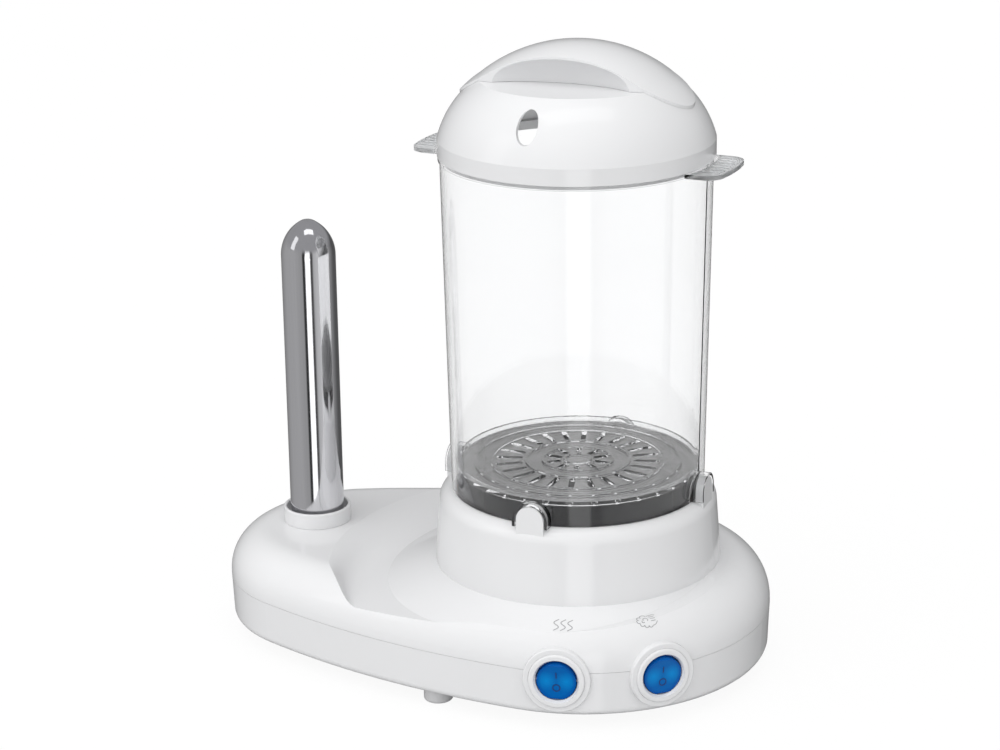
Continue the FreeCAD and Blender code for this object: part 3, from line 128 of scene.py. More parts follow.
def build_floor():
    profile = [(-FLOOR_HALF, 0.0), (BEND_START, 0.0)]
    for step in range(1, BEND_STEPS + 1):
        angle = math.radians(step * 90 / BEND_STEPS)
        profile.append((BEND_START + BEND_R * math.sin(angle), BEND_R * (1 - math.cos(angle))))
    profile.append((BEND_START + BEND_R, FLOOR_TOP))
    mesh = bpy.data.meshes.new("floor")
    vertices = [(side * FLOOR_HALF, y, z) for y, z in profile for side in (-1, 1)]
    faces = [(2 * i, 2 * i + 1, 2 * i + 3, 2 * i + 2) for i in range(len(profile) - 1)]
    mesh.from_pydata(vertices, [], faces)
    floor = bpy.data.objects.new("floor", mesh)
    bpy.context.collection.objects.link(floor)
    for polygon in mesh.polygons:
        polygon.use_smooth = True
    return floor


floor = build_floor()
print("floor", FLOOR_HALF * 2, "m wide")

# %% [markdown]
# ## Helpers for shader nodes
# A finish is a small tree of nodes joined by wires. Adding a node, setting its inputs and joining
# it on takes a few lines each time, so short functions take up what repeats. Each of them returns
# the node or the socket that the next one needs, so that a formula can be read from the inside out.

# %% Small helpers for node groups
def new_group(name, inputs, outputs):
    """An empty group with float, colour or vector sockets and its input and output nodes."""
    group = bpy.data.node_groups.new(name, "ShaderNodeTree")
    for label, kind, value in inputs:
        socket = group.interface.new_socket(label, in_out="INPUT", socket_type="NodeSocket" + kind)
        socket.default_value = value
    for label, kind in outputs:
        group.interface.new_socket(label, in_out="OUTPUT", socket_type="NodeSocket" + kind)
    start = group.nodes.new("NodeGroupInput")
    end = group.nodes.new("NodeGroupOutput")
    return group, start, end


def node(tree, kind, **values):
    """Adds a node. A value named after an input sets that input, any other sets a property."""
    made = tree.nodes.new("ShaderNode" + kind)
    for key, value in values.items():
        label = key.replace("_", " ")
        if label in made.inputs:
            made.inputs[label].default_value = value
        else:
            setattr(made, key, value)
    return made


def wire(tree, source, target):
    tree.links.new(source, target)


def maths(tree, operation, first, second):
    """One sum, product or power of two values, each a socket or a number."""
    made = tree.nodes.new("ShaderNodeMath")
    made.operation = operation
    for slot, value in zip(made.inputs, (first, second)):
        if isinstance(value, (int, float)):
            slot.default_value = value
        else:
            tree.links.new(value, slot)
    return made.outputs[0]


# A Mix node has sockets for numbers, vectors and colours, many of them with the same label, so
# the colour ones are picked by their number.
SHARE_IN, FIRST_IN, SECOND_IN, COLOUR_OUT = 0, 6, 7, 2


def mix_colours(tree, share, first, second):
    """Two colours mixed by the share of the second. Each is a socket or three numbers."""
    made = node(tree, "Mix", data_type="RGBA")
    wire(tree, share, made.inputs[SHARE_IN])
    for number, value in ((FIRST_IN, first), (SECOND_IN, second)):
        if isinstance(value, tuple):
            made.inputs[number].default_value = (*value, 1)
        else:
            wire(tree, value, made.inputs[number])
    return made.outputs[COLOUR_OUT]


def mix_shaders(tree, share, first, second):
    """Two shaders mixed by the share of the second."""
    made = node(tree, "MixShader")
    for slot, source in zip(made.inputs, (share, first, second)):
        wire(tree, source, slot)
    return made.outputs["Shader"]


def place_group(tree, group):
    """A copy of a shared effect."""
    made = tree.nodes.new("ShaderNodeGroup")
    made.node_tree = group
    return made


def reach_from(tree, point, direction):
    """Distance from the straight line through a point along a direction."""
    place = node(tree, "TexCoord")
    arm = node(tree, "VectorMath", operation="SUBTRACT")
    wire(tree, place.outputs["Object"], arm.inputs[0])
    arm.inputs[1].default_value = point
    across = node(tree, "VectorMath", operation="CROSS_PRODUCT")
    wire(tree, arm.outputs["Vector"], across.inputs[0])
    across.inputs[1].default_value = direction
    length = node(tree, "VectorMath", operation="LENGTH")
    wire(tree, across.outputs["Vector"], length.inputs[0])
    return length.outputs["Value"]


print("helpers ready")

# %% [markdown]
# ## Light
# Glossy things are shown off by what they mirror. A studio hangs bright cloths and black cards
# round the object for this: a cylinder then shows upright bands, and a clear vessel shows its
# edges. Here the room is a group that gives a brightness for every direction. Each pair below is a
# turn away from the camera, in degrees to the right, and the brightness there. The room has a
# narrow bright cloth by the camera, a black card on each side of it, a grey side on the left, a
# pale side on the right and a dark back. Higher up it fades to an even grey.

# %% The room as mirrors see it
COOL = 1.01
ABOVE, ABOVE_START, ABOVE_FULL = (0.34, 0.34, 0.35), 0.08, 0.3
ROOM = (
    (-180, 0.14), (-150, 0.25), (-110, 0.4), (-60, 0.42), (-25, 0.34), (-20, 0.03), (-12, 0.03),
    (-9, 1.7), (8, 1.7), (11, 0.05), (18, 0.08), (24, 0.5), (60, 0.75), (100, 0.3), (130, 0.08),
    (180, 0.14),
)


def build_room():
    group, start, end = new_group(
        "room in mirrors", [("Direction", "Vector", (0, 0, 1))], [("Color", "Color")])
    axes = node(group, "SeparateXYZ")
    wire(group, start.outputs["Direction"], axes.inputs["Vector"])
    forward = maths(group, "MULTIPLY", axes.outputs["Y"], -1.0)
    angle = maths(group, "ARCTAN2", axes.outputs["X"], forward)
    wrapped = node(group, "Math", operation="WRAP")
    wire(group, maths(group, "SUBTRACT", angle, BEARING), wrapped.inputs[0])
    wrapped.inputs[1].default_value = math.pi
    wrapped.inputs[2].default_value = -math.pi
    turn = node(group, "MapRange", From_Min=-math.pi, From_Max=math.pi)
    wire(group, wrapped.outputs[0], turn.inputs["Value"])
    bands = node(group, "ValToRGB")
    stops = bands.color_ramp.elements
    stops[0].position, stops[1].position = 0.0, 1.0
    for degrees, _ in ROOM[1:-1]:
        stops.new((degrees + 180) / 360)
    for stop, (_, value) in zip(stops, ROOM):
        stop.color = (value, value, value * COOL, 1)
    wire(group, turn.outputs["Result"], bands.inputs["Fac"])
    height = node(group, "MapRange", From_Min=ABOVE_START, From_Max=ABOVE_FULL)
    wire(group, axes.outputs["Z"], height.inputs["Value"])
    wire(group, mix_colours(group, height.outputs["Result"], bands.outputs["Color"], ABOVE),
         end.inputs["Color"])
    return group


ROOM_GROUP = build_room()
print(ROOM_GROUP.name, "with", len(ROOM), "stops")

# %% [markdown]
# What lights the matt share of a surface is simpler: the room is bright towards the front left and
# above, and falls off evenly to the back right. Seen directly, the room is plain white.

# %% The room as light
LIGHT_TURN, LIGHT_CLIMB = BEARING - math.radians(24), math.radians(53)
LIGHT_MEAN, LIGHT_SWING, LIGHT_LEAST = 0.14, 1.6, 0.03


def mirror_share(tree, path):
    """One for rays that a glossy face has thrown back, zero for those that passed through."""
    return maths(tree, "MULTIPLY", path.outputs["Is Glossy Ray"],
                 maths(tree, "SUBTRACT", 1.0, path.outputs["Is Transmission Ray"]))


def build_world():
    world = bpy.data.worlds.new("studio")
    bpy.context.scene.world = world
    world.use_nodes = True
    tree = world.node_tree
    tree.nodes.clear()
    place = node(tree, "TexCoord")
    towards = node(tree, "VectorMath", operation="DOT_PRODUCT")
    wire(tree, place.outputs["Generated"], towards.inputs[0])
    towards.inputs[1].default_value = (
        math.sin(LIGHT_TURN) * math.cos(LIGHT_CLIMB),
        -math.cos(LIGHT_TURN) * math.cos(LIGHT_CLIMB),
        math.sin(LIGHT_CLIMB),
    )
    level = maths(tree, "MULTIPLY", towards.outputs["Value"], LIGHT_SWING)
    level = maths(tree, "MAXIMUM", maths(tree, "ADD", level, LIGHT_MEAN), LIGHT_LEAST)
    room = place_group(tree, ROOM_GROUP)
    wire(tree, place.outputs["Generated"], room.inputs["Direction"])
    path = node(tree, "LightPath")
    thrown = mix_colours(tree, mirror_share(tree, path), level, room.outputs["Color"])
    seen = mix_colours(tree, path.outputs["Is Camera Ray"], thrown, (1, 1, 1))
    background = node(tree, "Background")
    end = node(tree, "OutputWorld")
    wire(tree, seen, background.inputs["Color"])
    wire(tree, background.outputs["Background"], end.inputs["Surface"])


def panel(name, place, target, width, height, power):
    data = bpy.data.lights.new(name, "AREA")
    data.shape = "RECTANGLE"
    data.size, data.size_y = width, height
    data.energy = power
    light = bpy.data.objects.new(name, data)
    bpy.context.collection.objects.link(light)
    light.location = place
    light.rotation_mode = "QUATERNION"
    light.rotation_quaternion = (Vector(target) - Vector(place)).to_track_quat("-Z", "Y")


build_world()
bpy.context.scene.view_settings.view_transform = "Standard"
panel("panel_left", place=(-1.1, -0.9, 0.9), target=(0, 0, 0.15),
      width=0.5, height=0.9, power=1.0)
panel("panel_top", place=(0.15, -0.25, 1.4), target=(0, 0, 0.1),
      width=0.9, height=0.35, power=1.0)
print("room lit, two panels")

# %% [markdown]
# ## Shared effects
# Several finishes need the same three effects: the faint unevenness of a moulded face, dust that
# settles on faces that look up, and the fine lines of turned or brushed metal. Each is built once
# as a node group with named inputs, and every material places it with values of its own.

# %% The faint unevenness of a moulded face
SMEAR_LOW, SMEAR_HIGH, GRAIN_SHARE = 0.38, 0.66, 0.25


def build_moulded():
    group, start, end = new_group("moulded face", [
        ("Grain Scale", "Float", 900.0), ("Smear Scale", "Float", 14.0),
        ("Roughness Low", "Float", 0.15), ("Roughness High", "Float", 0.3),
        ("Waviness", "Float", 0.5),
    ], [("Roughness", "Float"), ("Height", "Float"), ("Tone", "Float")])
    place = node(group, "TexCoord")
    grain = node(group, "TexNoise", Detail=3.0)
    smear = node(group, "TexNoise", Detail=2.0, Roughness=0.5, Distortion=0.3)
    for texture, label in ((grain, "Grain Scale"), (smear, "Smear Scale")):
        wire(group, place.outputs["Object"], texture.inputs["Vector"])
        wire(group, start.outputs[label], texture.inputs["Scale"])
    spread = node(group, "MapRange", From_Min=SMEAR_LOW, From_Max=SMEAR_HIGH)
    wire(group, smear.outputs["Fac"], spread.inputs["Value"])
    wire(group, start.outputs["Roughness Low"], spread.inputs["To Min"])
    wire(group, start.outputs["Roughness High"], spread.inputs["To Max"])
    fine = maths(group, "MULTIPLY", grain.outputs["Fac"], GRAIN_SHARE)
    broad = maths(group, "MULTIPLY", smear.outputs["Fac"], start.outputs["Waviness"])
    wire(group, spread.outputs["Result"], end.inputs["Roughness"])
    wire(group, maths(group, "ADD", fine, broad), end.inputs["Height"])
    wire(group, smear.outputs["Fac"], end.inputs["Tone"])
    return group


MOULDED = build_moulded()
print(MOULDED.name, "has", len(MOULDED.nodes), "nodes")

# %% Dust on the faces that look up
UPWARD_START, UPWARD_FULL = 0.35, 0.95
SPECK_START, SPECK_FULL = 0.5, 0.78


def build_dust():
    group, start, end = new_group("settled dust", [
        ("Color", "Color", (1, 1, 1, 1)), ("Dust Color", "Color", (0.55, 0.53, 0.5, 1)),
        ("Amount", "Float", 0.1), ("Speck Scale", "Float", 420.0),
    ], [("Color", "Color")])
    shape = node(group, "NewGeometry")
    place = node(group, "TexCoord")
    axes = node(group, "SeparateXYZ")
    wire(group, shape.outputs["Normal"], axes.inputs["Vector"])
    upward = node(group, "MapRange", From_Min=UPWARD_START, From_Max=UPWARD_FULL)
    wire(group, axes.outputs["Z"], upward.inputs["Value"])
    specks = node(group, "TexNoise", Detail=8.0, Roughness=0.75)
    wire(group, place.outputs["Object"], specks.inputs["Vector"])
    wire(group, start.outputs["Speck Scale"], specks.inputs["Scale"])
    thinned = node(group, "MapRange", From_Min=SPECK_START, From_Max=SPECK_FULL)
    wire(group, specks.outputs["Fac"], thinned.inputs["Value"])
    lying = maths(group, "MULTIPLY", upward.outputs["Result"], thinned.outputs["Result"])
    mask = maths(group, "MULTIPLY", lying, start.outputs["Amount"])
    wire(group, mix_colours(group, mask, start.outputs["Color"], start.outputs["Dust Color"]),
         end.inputs["Color"])
    return group


DUST = build_dust()
print(DUST.name, "has", len(DUST.nodes), "nodes")

# %% Fine lines of turned or drawn metal
STREAK_LOW, STREAK_HIGH = 0.3, 0.7


def build_lines():
    group, start, end = new_group("metal lines", [
        ("Stretch", "Vector", (900.0, 900.0, 12.0)), ("Roughness Low", "Float", 0.1),
        ("Roughness High", "Float", 0.25),
    ], [("Roughness", "Float"), ("Height", "Float"), ("Tone", "Float")])
    place = node(group, "TexCoord")
    scaled = node(group, "VectorMath", operation="MULTIPLY")
    wire(group, place.outputs["Object"], scaled.inputs[0])
    wire(group, start.outputs["Stretch"], scaled.inputs[1])
    streaks = node(group, "TexNoise", Scale=1.0, Detail=4.0, Roughness=0.6)
    wire(group, scaled.outputs["Vector"], streaks.inputs["Vector"])
    spread = node(group, "MapRange", From_Min=STREAK_LOW, From_Max=STREAK_HIGH)
    wire(group, streaks.outputs["Fac"], spread.inputs["Value"])
    wire(group, start.outputs["Roughness Low"], spread.inputs["To Min"])
    wire(group, start.outputs["Roughness High"], spread.inputs["To Max"])
    wire(group, spread.outputs["Result"], end.inputs["Roughness"])
    wire(group, streaks.outputs["Fac"], end.inputs["Height"])
    wire(group, streaks.outputs["Fac"], end.inputs["Tone"])
    return group


LINES = build_lines()
print(LINES.name, "has", len(LINES.nodes), "nodes")

# %% [markdown]
# ## One way to start a material
# Every finish starts from the same few nodes: a Principled shader, one effect group, a colour that
# is mixed between two close tones, and a bump. A short function sets these up, and each finish
# then adds what is its own. Numbers that are the same all over a surface are set on the shader
# itself.

# %% Start a material
def finish(name, light, dark, effect, bump, bump_depth, dust=0.0, settings=None, **shader):
    """A Principled material: two close tones, an effect group, a bump and a little dust."""
    material = bpy.data.materials.new(name)
    material.use_nodes = True
    tree = material.node_tree
    principled = tree.nodes["Principled BSDF"]
    for key, value in shader.items():
        principled.inputs[key.replace("_", " ")].default_value = value
    group = place_group(tree, effect)
    for key, value in (settings or {}).items():
        group.inputs[key].default_value = value
    colour = mix_colours(tree, group.outputs["Tone"], light, dark)
    if dust:
        settled = place_group(tree, DUST)
        settled.inputs["Amount"].default_value = dust
        wire(tree, colour, settled.inputs["Color"])
        colour = settled.outputs["Color"]
    wire(tree, colour, principled.inputs["Base Color"])
    wire(tree, group.outputs["Roughness"], principled.inputs["Roughness"])
    relief = node(tree, "Bump", Strength=bump, Distance=bump_depth)
    wire(tree, group.outputs["Height"], relief.inputs["Height"])
    wire(tree, relief.outputs["Normal"], principled.inputs["Normal"])
    return material


FINISHES = {}

# %% [markdown]
# ## White gloss plastic
# The shells and the lid are moulded in glossy white plastic. Up close such a face is never a
# perfect mirror: it has a slow waviness from cooling in the mould, a few smears from hands, and
# specks of dust on top. The colour stays just under pure white, or the highlights would have
# nothing to stand out from.

# %% White gloss plastic
FINISHES["gloss_white"] = finish(
    "gloss white", (0.772, 0.774, 0.782), (0.76, 0.763, 0.773), MOULDED,
    bump=0.05, bump_depth=0.0003, dust=0.05,
    settings={"Roughness Low": 0.29, "Roughness High": 0.34, "Smear Scale": 7.0,
              "Waviness": 0.3},
    IOR=1.5, Coat_Weight=0.7, Coat_Roughness=0.03, Specular_IOR_Level=0.35,
)
print("made", FINISHES["gloss_white"].name)

# %% [markdown]
# ## Clear plastic
# The vessel and the tray are clear. Clear plastic shows by its edges, where light passes through
# more of it, and by the reflections on both of its faces. The shader is fully transmissive with
# the refraction of acrylic. A slow change of roughness stands for the haze that washing leaves.
# The vessel's two tabs are frosted for grip, so the vessel gets a copy that turns rough and grey
# beyond its wall.

# %% Clear plastic
for key in ("clear_plastic", "vessel_clear"):
    FINISHES[key] = finish(
        key.replace("_", " "), (0.985, 0.987, 0.99), (0.965, 0.968, 0.972), MOULDED,
        bump=0.05, bump_depth=0.0004,
        settings={"Roughness Low": 0.0, "Roughness High": 0.05, "Smear Scale": 9.0,
                  "Waviness": 1.0, "Grain Scale": 500.0},
        IOR=1.46, Transmission_Weight=1.0, Specular_IOR_Level=0.5,
    )
FROST_START, FROST_END = 75.5 * MM, 77 * MM
FROST_ROUGHNESS, FROST_COLOUR = 0.3, (0.88, 0.89, 0.9)
dish_low, dish_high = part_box("heating_dish")
VESSEL_AXIS = (dish_low + dish_high) / 2


def frost_tabs(material):
    """Rough and pale grey beyond the wall, by the distance from the axis of dish and vessel."""
    tree = material.node_tree
    inputs = tree.nodes["Principled BSDF"].inputs
    frost = node(tree, "MapRange", From_Min=FROST_START, From_Max=FROST_END)
    wire(tree, reach_from(tree, VESSEL_AXIS, UPWARD), frost.inputs["Value"])
    share = frost.outputs["Result"]
    smooth, clear = (inputs[key].links[0].from_socket for key in ("Roughness", "Base Color"))
    wire(tree, maths(tree, "ADD", smooth, maths(tree, "MULTIPLY", share, FROST_ROUGHNESS)),
         inputs["Roughness"])
    wire(tree, mix_colours(tree, share, clear, FROST_COLOUR), inputs["Base Color"])


frost_tabs(FINISHES["vessel_clear"])
print("made", FINISHES["clear_plastic"].name, "and its frosted copy, axis at",
      round(VESSEL_AXIS.x / MM, 1), "mm")

# %% [markdown]
# ## Metals
# The spike is a drawn tube, polished along its length, so its fine lines run upwards. Screws and
# plates are duller. The dish under the tray has a dark, smooth non-stick coat.

# %% Metals
FINISHES["polished_steel"] = finish(
    "polished steel", (0.8, 0.8, 0.82), (0.7, 0.7, 0.72), LINES, bump=0.05, bump_depth=0.0002,
    settings={"Stretch": (1400.0, 1400.0, 8.0), "Roughness Low": 0.05, "Roughness High": 0.12},
    Metallic=1.0,
)
FINISHES["steel"] = finish(
    "plain steel", (0.6, 0.6, 0.62), (0.45, 0.45, 0.47), LINES, bump=0.15, bump_depth=0.0003,
    settings={"Stretch": (60.0, 900.0, 900.0), "Roughness Low": 0.29, "Roughness High": 0.42},
    Metallic=1.0,
)
FINISHES["brass"] = finish(
    "brass", (0.75, 0.58, 0.28), (0.6, 0.44, 0.2), LINES, bump=0.12, bump_depth=0.0003,
    settings={"Stretch": (80.0, 80.0, 900.0), "Roughness Low": 0.29, "Roughness High": 0.4},
    Metallic=1.0,
)
FINISHES["heater_metal"] = finish(
    "heater tube", (0.5, 0.49, 0.48), (0.36, 0.34, 0.33), MOULDED, bump=0.3, bump_depth=0.0004,
    settings={"Roughness Low": 0.35, "Roughness High": 0.5, "Smear Scale": 90.0}, Metallic=1.0,
)
FINISHES["nonstick"] = finish(
    "non-stick coat", (0.016, 0.016, 0.018), (0.01, 0.01, 0.012), MOULDED,
    bump=0.02, bump_depth=0.0001,
    settings={"Roughness Low": 0.12, "Roughness High": 0.17, "Smear Scale": 20.0},
    Specular_IOR_Level=0.22,
)
METALS = ("polished_steel", "steel", "brass", "heater_metal", "nonstick")
print("metals:", ", ".join(FINISHES[key].name for key in METALS))

# %% [markdown]
# ## Rubber, ceramic and the inner plastics
# These are matt. Soft rubber has a fine even grain. The leads' insulation and the switch and
# terminal plastics have a low sheen.

# %% Rubber, ceramic and inner plastics
MATT = {"Roughness Low": 0.45, "Roughness High": 0.62, "Smear Scale": 60.0}
for key, name, light, dark, strength in (
    ("grey_rubber", "grey rubber", (0.62, 0.62, 0.63), (0.54, 0.54, 0.55), 0.35),
    ("red_silicone", "silicone", (0.5, 0.09, 0.06), (0.42, 0.07, 0.05), 0.2),
    ("ceramic", "bare ceramic", (0.83, 0.8, 0.73), (0.74, 0.71, 0.64), 0.45),
    ("terminal_plastic", "terminal plastic", (0.8, 0.78, 0.72), (0.73, 0.71, 0.65), 0.25),
    ("lead_brown", "brown insulation", (0.2, 0.09, 0.045), (0.16, 0.07, 0.035), 0.2),
    ("lead_blue", "blue insulation", (0.05, 0.13, 0.42), (0.04, 0.1, 0.34), 0.2),
):
    FINISHES[key] = finish(name, light, dark, MOULDED, bump=strength, bump_depth=0.0003, dust=0.1,
                           settings=MATT)
FINISHES["lamp_glass"] = finish(
    "lamp glass", (0.9, 0.95, 1.0), (0.86, 0.9, 0.96), MOULDED, bump=0.05, bump_depth=0.0002,
    settings={"Roughness Low": 0.02, "Roughness High": 0.08}, IOR=1.5, Transmission_Weight=0.8,
)
print(len(FINISHES), "finishes so far")

# %% [markdown]
# ## Blue lit rockers
# A lit rocker is cast in clear blue plastic with a small lamp behind it. It glows on both sides of
# the post in its middle, and the rim, where the plastic is deepest, stays dark. The glow is a fade
# about two points on each rocker, so each of the two gets its own copy of the finish.

# %% Blue lit rockers
GLOW_RIM, GLOW_OFF, GLOW_R = 10.5 * MM, 5.3 * MM, 6.2 * MM
RIM_START, RIM_GLOW, FAR_GLOW = GLOW_RIM * 0.8, 0.15, 0.25
GLOW_DARK, GLOW_BRIGHT = (0.0, 0.0, 0.06), (0.0, 0.32, 0.62)


def rocker_finish(name, centre, along, facing):
    """Blue plastic with two soft glows, left and right of the middle, and a dark rim."""
    material = finish(
        name, (0.0, 0.085, 0.34), (0.0, 0.065, 0.28), MOULDED, bump=0.06, bump_depth=0.0003,
        settings={"Roughness Low": 0.16, "Roughness High": 0.26, "Smear Scale": 40.0},
        IOR=1.5, Specular_IOR_Level=0.14, Emission_Strength=0.46,
    )
    tree = material.node_tree
    rim = node(tree, "MapRange", From_Min=RIM_START, From_Max=GLOW_RIM, To_Min=1.0,
               To_Max=RIM_GLOW)
    wire(tree, reach_from(tree, centre, facing), rim.inputs["Value"])
    nearest = maths(tree, "MINIMUM", *(reach_from(tree, centre + along * side * GLOW_OFF, facing)
                                       for side in (-1, 1)))
    glow = node(tree, "MapRange", From_Min=0.0, From_Max=GLOW_R, To_Min=1.0, To_Max=FAR_GLOW)
    wire(tree, nearest, glow.inputs["Value"])
    lit = maths(tree, "MULTIPLY", rim.outputs["Result"], glow.outputs["Result"])
    wire(tree, mix_colours(tree, lit, GLOW_DARK, GLOW_BRIGHT),
         tree.nodes["Principled BSDF"].inputs["Emission Color"])
    return material


joints = {joint["name"]: joint for joint in frame["joints"]}
ROCKERS = {}
for label in ("heat", "steam"):
    joint = joints[f"{label}_rocker_press"]
    along = -Vector(joint["axis"])
    facing = along.cross(UPWARD).normalized()
    ROCKERS[label] = (Vector(joint["pos_m"]), along, facing)
    FINISHES[f"{label}_blue"] = rocker_finish(f"{label} blue", ROCKERS[label][0], along, facing)
print("rockers at", {label: [round(v, 3) for v in place[0]] for label, place in ROCKERS.items()})

# %% [markdown]
# ## Dress the solids
# The list of solids names a finish for each of them, so one loop dresses all. Two finishes depend
# on where the piece stands: each rocker has its own copy of the blue, and the vessel has the copy
# with frosted tabs.

# %% Give every solid its finish
for entry in frame["record"]["subparts"]:
    piece = nodes[entry["node"]]
    key = entry["material_slot"]
    if key == "blue_plastic":
        key = entry["node"].split("_")[0] + "_blue"
    if entry["node"] == "vessel":
        key = "vessel_clear"
    piece.data.materials.clear()
    piece.data.materials.append(FINISHES[key])
    shade(piece)
print(len(nodes), "solids dressed")

# %% [markdown]
# ## Printed and moulded marks
# Two small signs stand above the switches: rising heat for the spike and a cloud for the steam.
# The rockers carry the usual line and ring for on and off. Each mark is a thin ribbon laid on the
# real surface. Its points are thrown onto the solid along a straight line, so that the ribbon
# follows the curve beneath it.

# %% Lay a ribbon on a surface
def surface_of(name):
    mesh = nodes[name].data
    return BVHTree.FromPolygons(
        [vertex.co for vertex in mesh.vertices], [tuple(p.vertices) for p in mesh.polygons])


RISE, THROW_FROM = 0.12 * MM, 30 * MM


def ribbon(name, strokes, width, place, surface, material, body):
    """Strokes in a plane, thrown along its -Z onto the surface, as one mesh of flat ribbons."""
    made = bmesh.new()
    throw = -place.to_3x3().col[2].normalized()
    for points, closed in strokes:
        rows = []
        count = len(points)
        for index, point in enumerate(points):
            before = points[index - 1] if index or closed else point
            after = points[(index + 1) % count] if index < count - 1 or closed else point
            way = (Vector(after) - Vector(before)).normalized()
            side = Vector((-way.y, way.x)) * width / 2
            row = []
            for sign in (1, -1):
                flat = Vector(point) + side * sign
                start = place @ Vector((flat.x, flat.y, THROW_FROM))
                hit, _, _, _ = surface.ray_cast(start, throw)
                if hit is None:
                    raise ValueError(f"{name}: a point misses the surface")
                row += [made.verts.new(hit - throw * RISE), made.verts.new(hit + throw * RISE)]
            rows.append(row)
        pairs = list(zip(rows, rows[1:])) + ([(rows[-1], rows[0])] if closed else [])
        for (a, b, c, d), (e, f, g, h) in pairs:
            for face in ((a, e, g, c), (b, d, h, f), (a, b, f, e), (c, g, h, d)):
                made.faces.new(face)
        if not closed:
            for a, b, c, d in (rows[0], rows[-1]):
                made.faces.new((a, c, d, b))
    bmesh.ops.recalc_face_normals(made, faces=made.faces)
    mesh = bpy.data.meshes.new(name)
    made.to_mesh(mesh)
    made.free()
    mesh.materials.append(material)
    piece = bpy.data.objects.new(name, mesh)
    bpy.context.collection.objects.link(piece)
    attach(piece, body)
    return piece


def arc(x, y, radius, start, end, steps):
    """Points along part of a circle, between two angles in degrees."""
    angles = [math.radians(start + (end - start) * step / steps) for step in range(steps + 1)]
    return [(x + radius * math.cos(angle), y + radius * math.sin(angle)) for angle in angles]


print("ribbons are thrown onto the solids")

# %% [markdown]
# ### Sign shade and rocker print
# The signs are thin raised lines moulded in white on the shoulder above each switch. Their grey is
# painted shade that stands in for the shade along the raised lines. The plane they are drawn in leans
# back with the shoulder, so that they aren't stretched when they are thrown onto it.

# %% Painted sign shade, rocker print, and the plane of a sign
# The grey of the signs is painted shade for their moulded raised lines. The blue of the rocker marks is print.
FINISHES["print_grey"] = finish(
    "sign grey painted shade", (0.36, 0.36, 0.37), (0.3, 0.3, 0.31), MOULDED, bump=0.1, bump_depth=0.0002,
    settings={"Roughness Low": 0.4, "Roughness High": 0.5})
FINISHES["mark_blue"] = finish(
    "rocker mark", (0.0, 0.025, 0.16), (0.0, 0.02, 0.12), MOULDED, bump=0.1, bump_depth=0.0002,
    settings={"Roughness Low": 0.3, "Roughness High": 0.4})
housing = surface_of("upper_housing")
SIGN_HEIGHT, SIGN_LEAN = 54 * MM, 0.9


def sign_place(label, inward, aside):
    """A plane that lies above the shoulder, its Y pointing away from the switch."""
    centre, along, facing = ROCKERS[label]
    up = (UPWARD - facing * SIGN_LEAN).normalized()
    spot = Vector((centre.x, centre.y, SIGN_HEIGHT)) - facing * inward + along * aside
    return placement(along, up, along.cross(up), spot)


print("sign shade and rocker print:", FINISHES["print_grey"].name, "and", FINISHES["mark_blue"].name)

# %% [markdown]
# ### Rising heat
# Three equal waves side by side. Each wave is a little over one turn of a cosine.

# %% Heat sign
WAVE_HEIGHT, WAVE_SWING, WAVE_PITCH, WAVE_LINE = 7.5 * MM, 1.4 * MM, 3.7 * MM, 0.45 * MM
WAVE_START, WAVE_SPAN, WAVE_STEPS = 0.25 * math.pi, 2.5 * math.pi, 24


def wave(x):
    """Two full bends between short hooked ends, from bottom left to top right."""
    shares = [step / WAVE_STEPS for step in range(WAVE_STEPS + 1)]
    return [
        (x - WAVE_SWING * math.cos(WAVE_START + WAVE_SPAN * share), WAVE_HEIGHT * (share - 0.5))
        for share in shares
    ]


heat_sign = ribbon(
    "heat_sign", [(wave(number * WAVE_PITCH), False) for number in (-1, 0, 1)], WAVE_LINE,
    sign_place("heat", 12.5 * MM, 1.8 * MM), housing, FINISHES["print_grey"], "base")
print("heat sign", len(heat_sign.data.polygons), "faces")

# %% [markdown]
# ### Steam cloud
# The left half is a cluster of puffs: short arcs that meet in points, with two curls inside. The
# right half is a block with three short level lines.

# %% Steam sign
CLOUD_LINE, PUFF_STEPS = 0.36 * MM, 12


def cloud():
    """Puffs as (x, y, radius, first angle, last angle), then the block and its lines."""
    puffs = [
        (-4.5, 0.2, 1.1, 90, 290), (-3.1, 2.0, 1.3, 60, 230), (-0.6, 2.8, 1.6, 15, 190),
        (-3.1, -1.7, 1.2, 150, 330), (-0.9, -2.7, 1.2, 170, 345), (1.3, -3.0, 1.1, 170, 350),
        (-0.5, 0.8, 1.2, -60, 200), (-2.2, -0.2, 0.7, 100, 330),
    ]
    strokes = [arc(x * MM, y * MM, radius * MM, start, end, PUFF_STEPS)
               for x, y, radius, start, end in puffs]
    block = ((1.4, 3.3), (5.3, 3.7), (5.7, 3.1), (5.6, -1.2), (4.3, -2.7), (2.7, -3.3))
    strokes.append([(x * MM, y * MM) for x, y in block])
    strokes += [[(x * MM, y * MM) for x in (2.1, 3.4, 4.8)] for y in (2.3, 0.9, -0.5)]
    return [(points, False) for points in strokes]


steam_sign = ribbon(
    "steam_sign", cloud(), CLOUD_LINE, sign_place("steam", 11.8 * MM, -4.1 * MM), housing,
    FINISHES["print_grey"], "base")
print("steam sign", len(steam_sign.data.polygons), "faces")

# %% [markdown]
# ### Line and ring on the rockers
# They ride on the rockers, so that they tip with them.

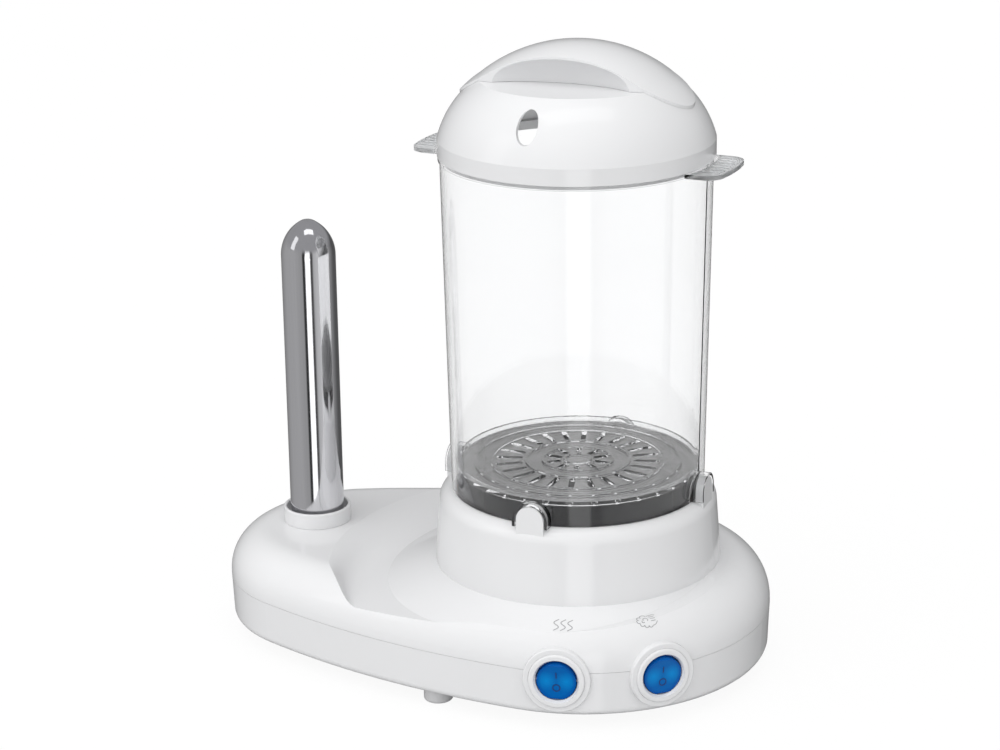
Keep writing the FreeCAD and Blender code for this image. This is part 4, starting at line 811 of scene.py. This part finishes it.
# %% Rocker marks
MARK_LINE, LINE_START, LINE_STEP, LINE_POINTS = 0.6 * MM, 1.7 * MM, 0.9 * MM, 5
RING_DROP, RING_R, RING_POINTS = 4.0 * MM, 1.9 * MM, 24
for label, (centre, along, facing) in ROCKERS.items():
    line = [(0, LINE_START + LINE_STEP * step) for step in range(LINE_POINTS)]
    ring = arc(0, -RING_DROP, RING_R, 0, 360 - 360 / RING_POINTS, RING_POINTS - 1)
    ribbon(f"{label}_marks", [(line, False), (ring, True)], MARK_LINE,
           placement(along, UPWARD, facing, centre), surface_of(f"{label}_rocker"),
           FINISHES["mark_blue"], f"{label}_rocker")
print("marks on", ", ".join(ROCKERS))

# %% [markdown]
# ## Floor finish
# The floor is a pale painted board with the faintest grain, so that it takes soft shadows without
# drawing the eye.

# %% Finish the floor
SHADOW_THINNED, BOUNCE = 0.92, 0.62


def floor_finish():
    """A matt board. Mirrors see the room in its place, so that no glossy face shows a horizon.
    It throws only part of its light back, so that undersides stay in shade, and most of what is
    seen of it directly is an even glow, so that the shadow on it stays thin."""
    material = finish(
        "pale board", (0.97, 0.97, 0.97), (0.95, 0.95, 0.95), MOULDED, bump=0.05,
        bump_depth=0.0003,
        settings={"Roughness Low": 0.55, "Roughness High": 0.7, "Smear Scale": 3.0},
        Specular_IOR_Level=0.1)
    tree = material.node_tree
    shape = node(tree, "NewGeometry")
    away = node(tree, "VectorMath", operation="SCALE")
    away.inputs["Scale"].default_value = -1.0
    wire(tree, shape.outputs["Incoming"], away.inputs[0])
    room = place_group(tree, ROOM_GROUP)
    wire(tree, away.outputs["Vector"], room.inputs["Direction"])
    lit = node(tree, "Emission")
    wire(tree, room.outputs["Color"], lit.inputs["Color"])
    glow = node(tree, "Emission", Color=(1, 1, 1, 1))
    board = node(tree, "BsdfDiffuse", Color=(BOUNCE, BOUNCE, BOUNCE, 1))
    path = node(tree, "LightPath")
    dimmed = mix_shaders(tree, path.outputs["Is Diffuse Ray"],
                         tree.nodes["Principled BSDF"].outputs["BSDF"], board.outputs["BSDF"])
    thinned = mix_shaders(tree, maths(tree, "MULTIPLY", path.outputs["Is Camera Ray"],
                                      SHADOW_THINNED), dimmed, glow.outputs["Emission"])
    both = mix_shaders(tree, mirror_share(tree, path), thinned, lit.outputs["Emission"])
    wire(tree, both, tree.nodes["Material Output"].inputs["Surface"])
    return material


floor.data.materials.append(floor_finish())
